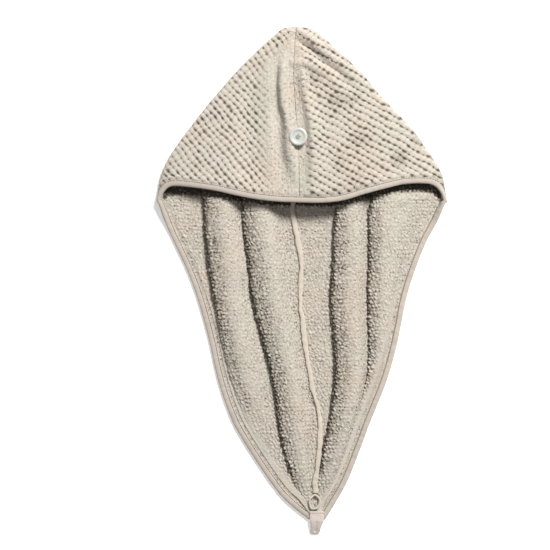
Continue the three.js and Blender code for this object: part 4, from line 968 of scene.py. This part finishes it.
def edge_binding():
    """The folded tape, with a shallow groove where its stitches lie, and the stitches."""
    at, inward, normal, length = free_edge(BAND_STEPS)
    width = BAND_WIDTH + BAND_NOSE
    profile = rounded(width, 2 * BAND_THICK, 24)
    groove = np.exp(-((profile[:, 0] - (STITCH_IN - width / 2 + BAND_NOSE)) / 0.6) ** 2)
    profile[:, 1] -= np.sign(profile[:, 1]) * 0.4 * groove
    profile[:, 0] += width / 2 - BAND_NOSE
    pucker = 0.12 * drift(length, 0 * length, 3.5, 61)[:, None] * np.ones(len(profile))
    profile = np.repeat(profile[None], len(at), 0)
    profile[..., 1] *= 1 + pucker
    points, faces = sweep(at, inward, normal, profile, True)
    band = mesh_object("edge_band", points, faces, tape_material("binding", (0.56, 0.50, 0.44), 0.8))
    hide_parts("edge_binding")

    count = int(length[-1] / STITCH_PITCH)
    at, inward, normal, _ = free_edge(count)
    run = unit(np.gradient(at, axis=0))
    up = np.concatenate([normal, -normal])
    places = np.tile(at + inward * STITCH_IN, (2, 1)) + up * (BAND_THICK - 0.35)
    made = stitches("edge_stitches", places, np.tile(run, (2, 1)), up,
                    tape_material("stitch_thread", (0.2, 0.165, 0.13), 0.8))


edge_binding()


# Seam tape: a light strip over the seam allowance on the inside of the centre back seam, slightly
# puckered, and its loose end curled into a small ring near the tip.
TAPE_WIDTH = 5.4
TAPE_HEIGHT = 2.4
TAPE_START = 0.3
CURL_DOWN = 0.945
CURL_ACROSS = 0.088
CURL_SIZE = (15.0, 20.0)
CURL_CORD = 3.2


def seam_tape():
    """The strip along the seam of the back, from inside the hood to near the tip, and its curl."""
    middle = (middle_surface(-1)[0][:, -1] + middle_surface(1)[0][:, -1]) / 2
    end = -TAIL_LENGTH * CURL_DOWN + CURL_SIZE[1] / 2 + 0.5
    line = middle[int(HOOD_STEPS * TAPE_START):]
    line = line[line[:, 1] > end]
    line = smooth(line, spread(np.hypot(*np.diff(line[:, :2], axis=0).T), 460))
    y = line[:, 1]
    line[:, 0] += 0.7 * drift(y, 0 * y, 13, 71) + 0.35 * drift(y, 0 * y, 4, 72)
    line[:, 2] += LEVEL + 0.5 + TAPE_HEIGHT / 2
    run = unit(np.gradient(line, axis=0))
    normal = np.array([0, 0, 1.0]) + 0 * line
    profile = np.repeat(rounded(TAPE_WIDTH, TAPE_HEIGHT, 14, 2.3)[None], len(line), 0)
    profile[..., 0] *= (1 + 0.3 * drift(y, 0 * y, 9, 73))[:, None]
    profile[..., 1] *= (1 + 0.2 * drift(y, 0 * y, 3.5, 74))[:, None]
    profile[..., 1] += 0.25 * drift(y, 0 * y, 5, 75)[:, None]
    points, faces = sweep(line, np.cross(normal, run), normal, profile, False)
    material = tape_material("seam_tape", (0.68, 0.605, 0.52), 0.8)
    tape = mesh_object("seam_tape", points, faces, material)
    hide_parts("seam_binding")

    angle = np.linspace(0, 2 * np.pi, 72, endpoint=False)
    a, b = ((s - CURL_CORD) / 2 for s in CURL_SIZE)
    wobble = 1 + 0.06 * np.sin(2 * angle + 0.6) + 0.04 * np.sin(5 * angle)
    ring = np.stack([a * np.cos(angle) * wobble, b * np.sin(angle) * wobble, 0.3 * np.sin(3 * angle)], -1)
    ring += [HALF_WIDTH * CURL_ACROSS, -TAIL_LENGTH * CURL_DOWN, 6.7]
    run = unit(np.roll(ring, -1, 0) - np.roll(ring, 1, 0))
    up = np.array([0, 0, 1.0]) + 0 * ring
    points, faces = sweep(ring, np.cross(up, run), up, rounded(CURL_CORD * 0.8, CURL_CORD, 12), True)
    curl = mesh_object("seam_tape_curl", points, faces, material)
    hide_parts("seam_end_curl")


seam_tape()


# Hanging loop: a folded tape whose ends lie flat over the binding at the tip. Beyond the tip it
# slopes down to the table, with a slit between its two legs, and a row of stitches holds its ends.
LOOP_BASE = 17.0
LOOP_END = 12.0
LOOP_THICK = 2.2
LOOP_SLIT = 2.4
LOOP_SLIT_LENGTH = 13.0
LOOP_FLAT = 11.6
LOOP_SHIFT = -2.0


def hanging_loop():
    """The loop as a thin slab with a round end and a slit that dips between its legs."""
    low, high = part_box("hanging_loop")
    centre = (low[0] + high[0]) * 500
    top, tip = high[1] * 1000 - MOUTH_Y, low[1] * 1000 - MOUTH_Y
    rest = high[2] * 1000 - LOOP_THICK
    rows, cols = 61, 33
    down = np.linspace(0, 1, rows)[:, None]
    across = np.linspace(-1, 1, cols)[None, :]
    length = top - tip
    reach = down * length
    half = mix(LOOP_BASE, LOOP_END, fade(reach, LOOP_FLAT - 2, length * 0.8)) / 2
    to_end = np.clip((length - reach) / (LOOP_END / 2), 0, 1)
    half = half * np.clip(1 - (1 - to_end) ** 3, 0.0001, 1) ** (1 / 3)
    x = across * half
    slope = fade(reach, LOOP_FLAT - 1, length)
    fall = np.clip((reach - LOOP_FLAT) / (length - LOOP_FLAT), 0, 1) ** 1.3
    z_mid = mix(rest, 0.15, fall) + LOOP_THICK / 2 + 0 * across
    slit_start = length - LOOP_SLIT - LOOP_SLIT_LENGTH
    in_slit = fade(reach, slit_start - 1, slit_start + 1) * (1 - fade(reach, length - 3.6, length - 2.2))
    opens = mix(0.28, 0.75, fade(reach, slit_start, length - 3))
    dip = in_slit * np.exp(-(x / (LOOP_SLIT * opens)) ** 4)
    thick = LOOP_THICK * (1 - np.abs(across) ** 6) ** 0.5 * (1 - 0.82 * dip)
    thick = thick * np.clip(np.sqrt(np.clip(to_end * 6, 0.02, 1)), 0, 1)
    thick = thick * (1 + 0.1 * drift(x, reach, 3, 81))
    y = top - reach + 0 * across
    z = z_mid + 0.35 * drift(x, reach, 9, 82) * slope
    x = x + centre + LOOP_SHIFT * slope
    top_face = np.stack([x, y, z + thick / 2], -1)
    low_face = np.stack([x, y, np.maximum(z - thick / 2, 0.05)], -1)
    i, j = np.mgrid[0:rows - 1, 0:cols - 1]
    cell = np.stack([i * cols + j, i * cols + j + 1, (i + 1) * cols + j + 1, (i + 1) * cols + j], -1)
    cell = cell.reshape(-1, 4)
    shift = rows * cols
    rim = np.concatenate([np.arange(cols), np.arange(2, rows) * cols - 1,
                          (rows - 1) * cols + np.arange(cols)[::-1], np.arange(1, rows - 1)[::-1] * cols])
    following = np.roll(rim, -1)
    walls = np.stack([rim, following, following + shift, rim + shift], -1)
    points = np.concatenate([top_face.reshape(-1, 3), low_face.reshape(-1, 3)])
    faces = [cell[:, ::-1], cell + shift, walls]
    material = tape_material("loop_tape", (0.72, 0.635, 0.58), 0.75)
    loop = mesh_object("loop", points, faces, material)
    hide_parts("hanging_loop")

    places = np.stack([centre + np.linspace(-7.5, 7.5, 6), np.full(6, top - 2.0),
                       np.full(6, rest + LOOP_THICK + 0.1)], -1)
    made = stitches("loop_stitches", places, np.tile([1.0, 0, 0], (6, 1)), np.tile([0, 0, 1.0], (6, 1)),
                    tape_material("loop_thread", (0.62, 0.54, 0.48), 0.7))


hanging_loop()


# Button: pale translucent plastic with a raised rim and a dished centre, and a square of thread
# through its four holes.
BUTTON_WIDTH = 22.0
BUTTON_THICK = 3.1
BUTTON_DISH = 1.1
HOLE_WIDTH = 2.0
HOLE_REACH = 2.2
THREAD = 1.1


def button():
    """The disc turned from a profile, with four holes sunk in it, and its thread."""
    low, high = (np.array(v) * 1000 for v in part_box("button"))
    tilt = (high[2] - low[2] - BUTTON_THICK) / BUTTON_WIDTH
    centre = np.array([(low[0] + high[0]) / 2, (low[1] + high[1]) / 2 - MOUTH_Y,
                       low[2] + tilt * BUTTON_WIDTH / 2])
    radius = np.append(np.linspace(0, 5.2, 40), np.linspace(5.4, BUTTON_WIDTH / 2, 34))
    table = np.array([
        # radius, top
        [0.0, BUTTON_THICK - BUTTON_DISH],
        [6.0, BUTTON_THICK - BUTTON_DISH],
        [7.2, BUTTON_THICK - 0.55],
        [8.2, BUTTON_THICK - 0.05],
        [9.2, BUTTON_THICK],
        [10.2, BUTTON_THICK - 0.35],
        [10.8, BUTTON_THICK - 1.0],
        [11.0, BUTTON_THICK * 0.45],
    ])
    angle = np.linspace(0, 2 * np.pi, 96, endpoint=False)
    x = radius[:, None] * np.cos(angle)
    y = radius[:, None] * np.sin(angle)
    top = np.interp(radius, table[:, 0], table[:, 1])
    top = np.convolve(np.pad(top, 1, mode="edge"), [0.25, 0.5, 0.25], mode="valid")[:, None] + 0 * x
    turn = np.arange(4) * np.pi / 2
    for hole_x, hole_y in HOLE_REACH * np.stack([np.cos(turn), np.sin(turn)], -1):
        away = np.hypot(x - hole_x, y - hole_y)
        top = top - 1.7 * (1 - fade(away, HOLE_WIDTH / 2 - 0.25, HOLE_WIDTH / 2 + 0.1))
    under = np.interp(radius, [0, 8.8, 11.0], [0.3, 0.3, BUTTON_THICK * 0.45])[:, None] + 0 * x
    tilted = lambda z: z - tilt * y
    faces_up = np.stack([x, y, tilted(top)], -1) + centre
    faces_down = np.stack([x, y, tilted(under)], -1) + centre
    points = np.concatenate([faces_up.reshape(-1, 3), faces_down[::-1].reshape(-1, 3)])
    quads = np.roll(ring_faces(2 * len(radius), len(angle), False)[:, ::-1], 1, axis=1)
    material, _, shader = new_material("button_plastic", 0.28)
    shader.inputs["Base Color"].default_value = (0.56, 0.58, 0.545, 1)
    shader.inputs["Subsurface Weight"].default_value = 0.6
    shader.inputs["Subsurface Scale"].default_value = 0.002
    shader.inputs["Coat Weight"].default_value = 0.4
    disc = mesh_object("button_disc", points, [quads], material)
    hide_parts("button")

    t = np.linspace(0, 4, 96, endpoint=False)
    leg, share = np.floor(t).astype(int), t % 1
    corner = lambda k: HOLE_REACH * np.stack([np.cos(k * np.pi / 2), np.sin(k * np.pi / 2)], -1)
    path = mix(corner(leg), corner(leg + 1), fade(share, 0.08, 0.92)[:, None])
    bow = np.sin(np.pi * share) ** 0.4
    z = BUTTON_THICK - BUTTON_DISH - 0.7 + 1.4 * bow
    line = np.column_stack([path, z - tilt * path[:, 1]]) + centre
    run = unit(np.roll(line, -1, 0) - np.roll(line, 1, 0))
    side = unit(np.cross(run, np.array([0, 0, 1.0])) + 1e-6)
    points, faces = sweep(line, side, np.cross(side, run), rounded(THREAD * 1.5, THREAD, 10, 2.0), True)
    thread = mesh_object("thread_square", points, faces,
                         tape_material("thread", (0.42, 0.41, 0.39), 0.7))
    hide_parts("button_thread")


button()


# Camera, light and floor. A pale floor that glows a little, one broad light from the upper right, a
# weak one from the lower left and a soft room, with a long lens straight above the towel.
CAMERA = (-0.0321, 0.0065)
VIEW_WIDTH = 0.66
CAMERA_HEIGHT = 3.6
SENSOR = 36
FLOOR_REACH = 3
FLOOR_Z = -0.0005

floor_mesh = bpy.data.meshes.new("floor")
floor_corners = [(x * FLOOR_REACH, y * FLOOR_REACH, FLOOR_Z)
                 for x, y in ((-1, -1), (1, -1), (1, 1), (-1, 1))]
floor_mesh.from_pydata(floor_corners, [], [(0, 1, 2, 3)])
floor = bpy.data.objects.new("floor", floor_mesh)
bpy.context.collection.objects.link(floor)
floor_material, _, floor_shader = new_material("floor", 0.9)
floor_shader.inputs["Base Color"].default_value = (0.93, 0.93, 0.93, 1)
floor_shader.inputs["Emission Color"].default_value = (1, 1, 1, 1)
floor_shader.inputs["Emission Strength"].default_value = 0.35
floor_mesh.materials.append(floor_material)


def area_light(name, position, size, power, color):
    """A round light that faces the middle of the towel."""
    light = bpy.data.lights.new(name, "AREA")
    light.shape = "DISK"
    light.size = size
    light.energy = power
    light.color = color
    made = bpy.data.objects.new(name, light)
    made.location = position
    made.rotation_euler = made.location.to_track_quat("Z", "Y").to_euler()
    bpy.context.collection.objects.link(made)


area_light("key", (1.35, 2.4, 2.9), 1.2, 222, (1.0, 0.985, 0.96))
area_light("fill", (-1.6, -0.8, 2.2), 1.6, 5, (0.96, 0.98, 1.0))

world = bpy.data.worlds.new("room")
world.use_nodes = True
world.node_tree.nodes["Background"].inputs["Color"].default_value = (1.0, 0.965, 0.92, 1)
world.node_tree.nodes["Background"].inputs["Strength"].default_value = 0.22
bpy.context.scene.world = world

camera_data = bpy.data.cameras.new("camera")
camera_data.sensor_width = SENSOR
camera_data.lens = SENSOR * CAMERA_HEIGHT / VIEW_WIDTH
camera_data.clip_end = 20
camera = bpy.data.objects.new("camera", camera_data)
camera.location = (*CAMERA, CAMERA_HEIGHT)
bpy.context.collection.objects.link(camera)
bpy.context.scene.camera = camera
bpy.context.scene.view_settings.view_transform = "Standard"
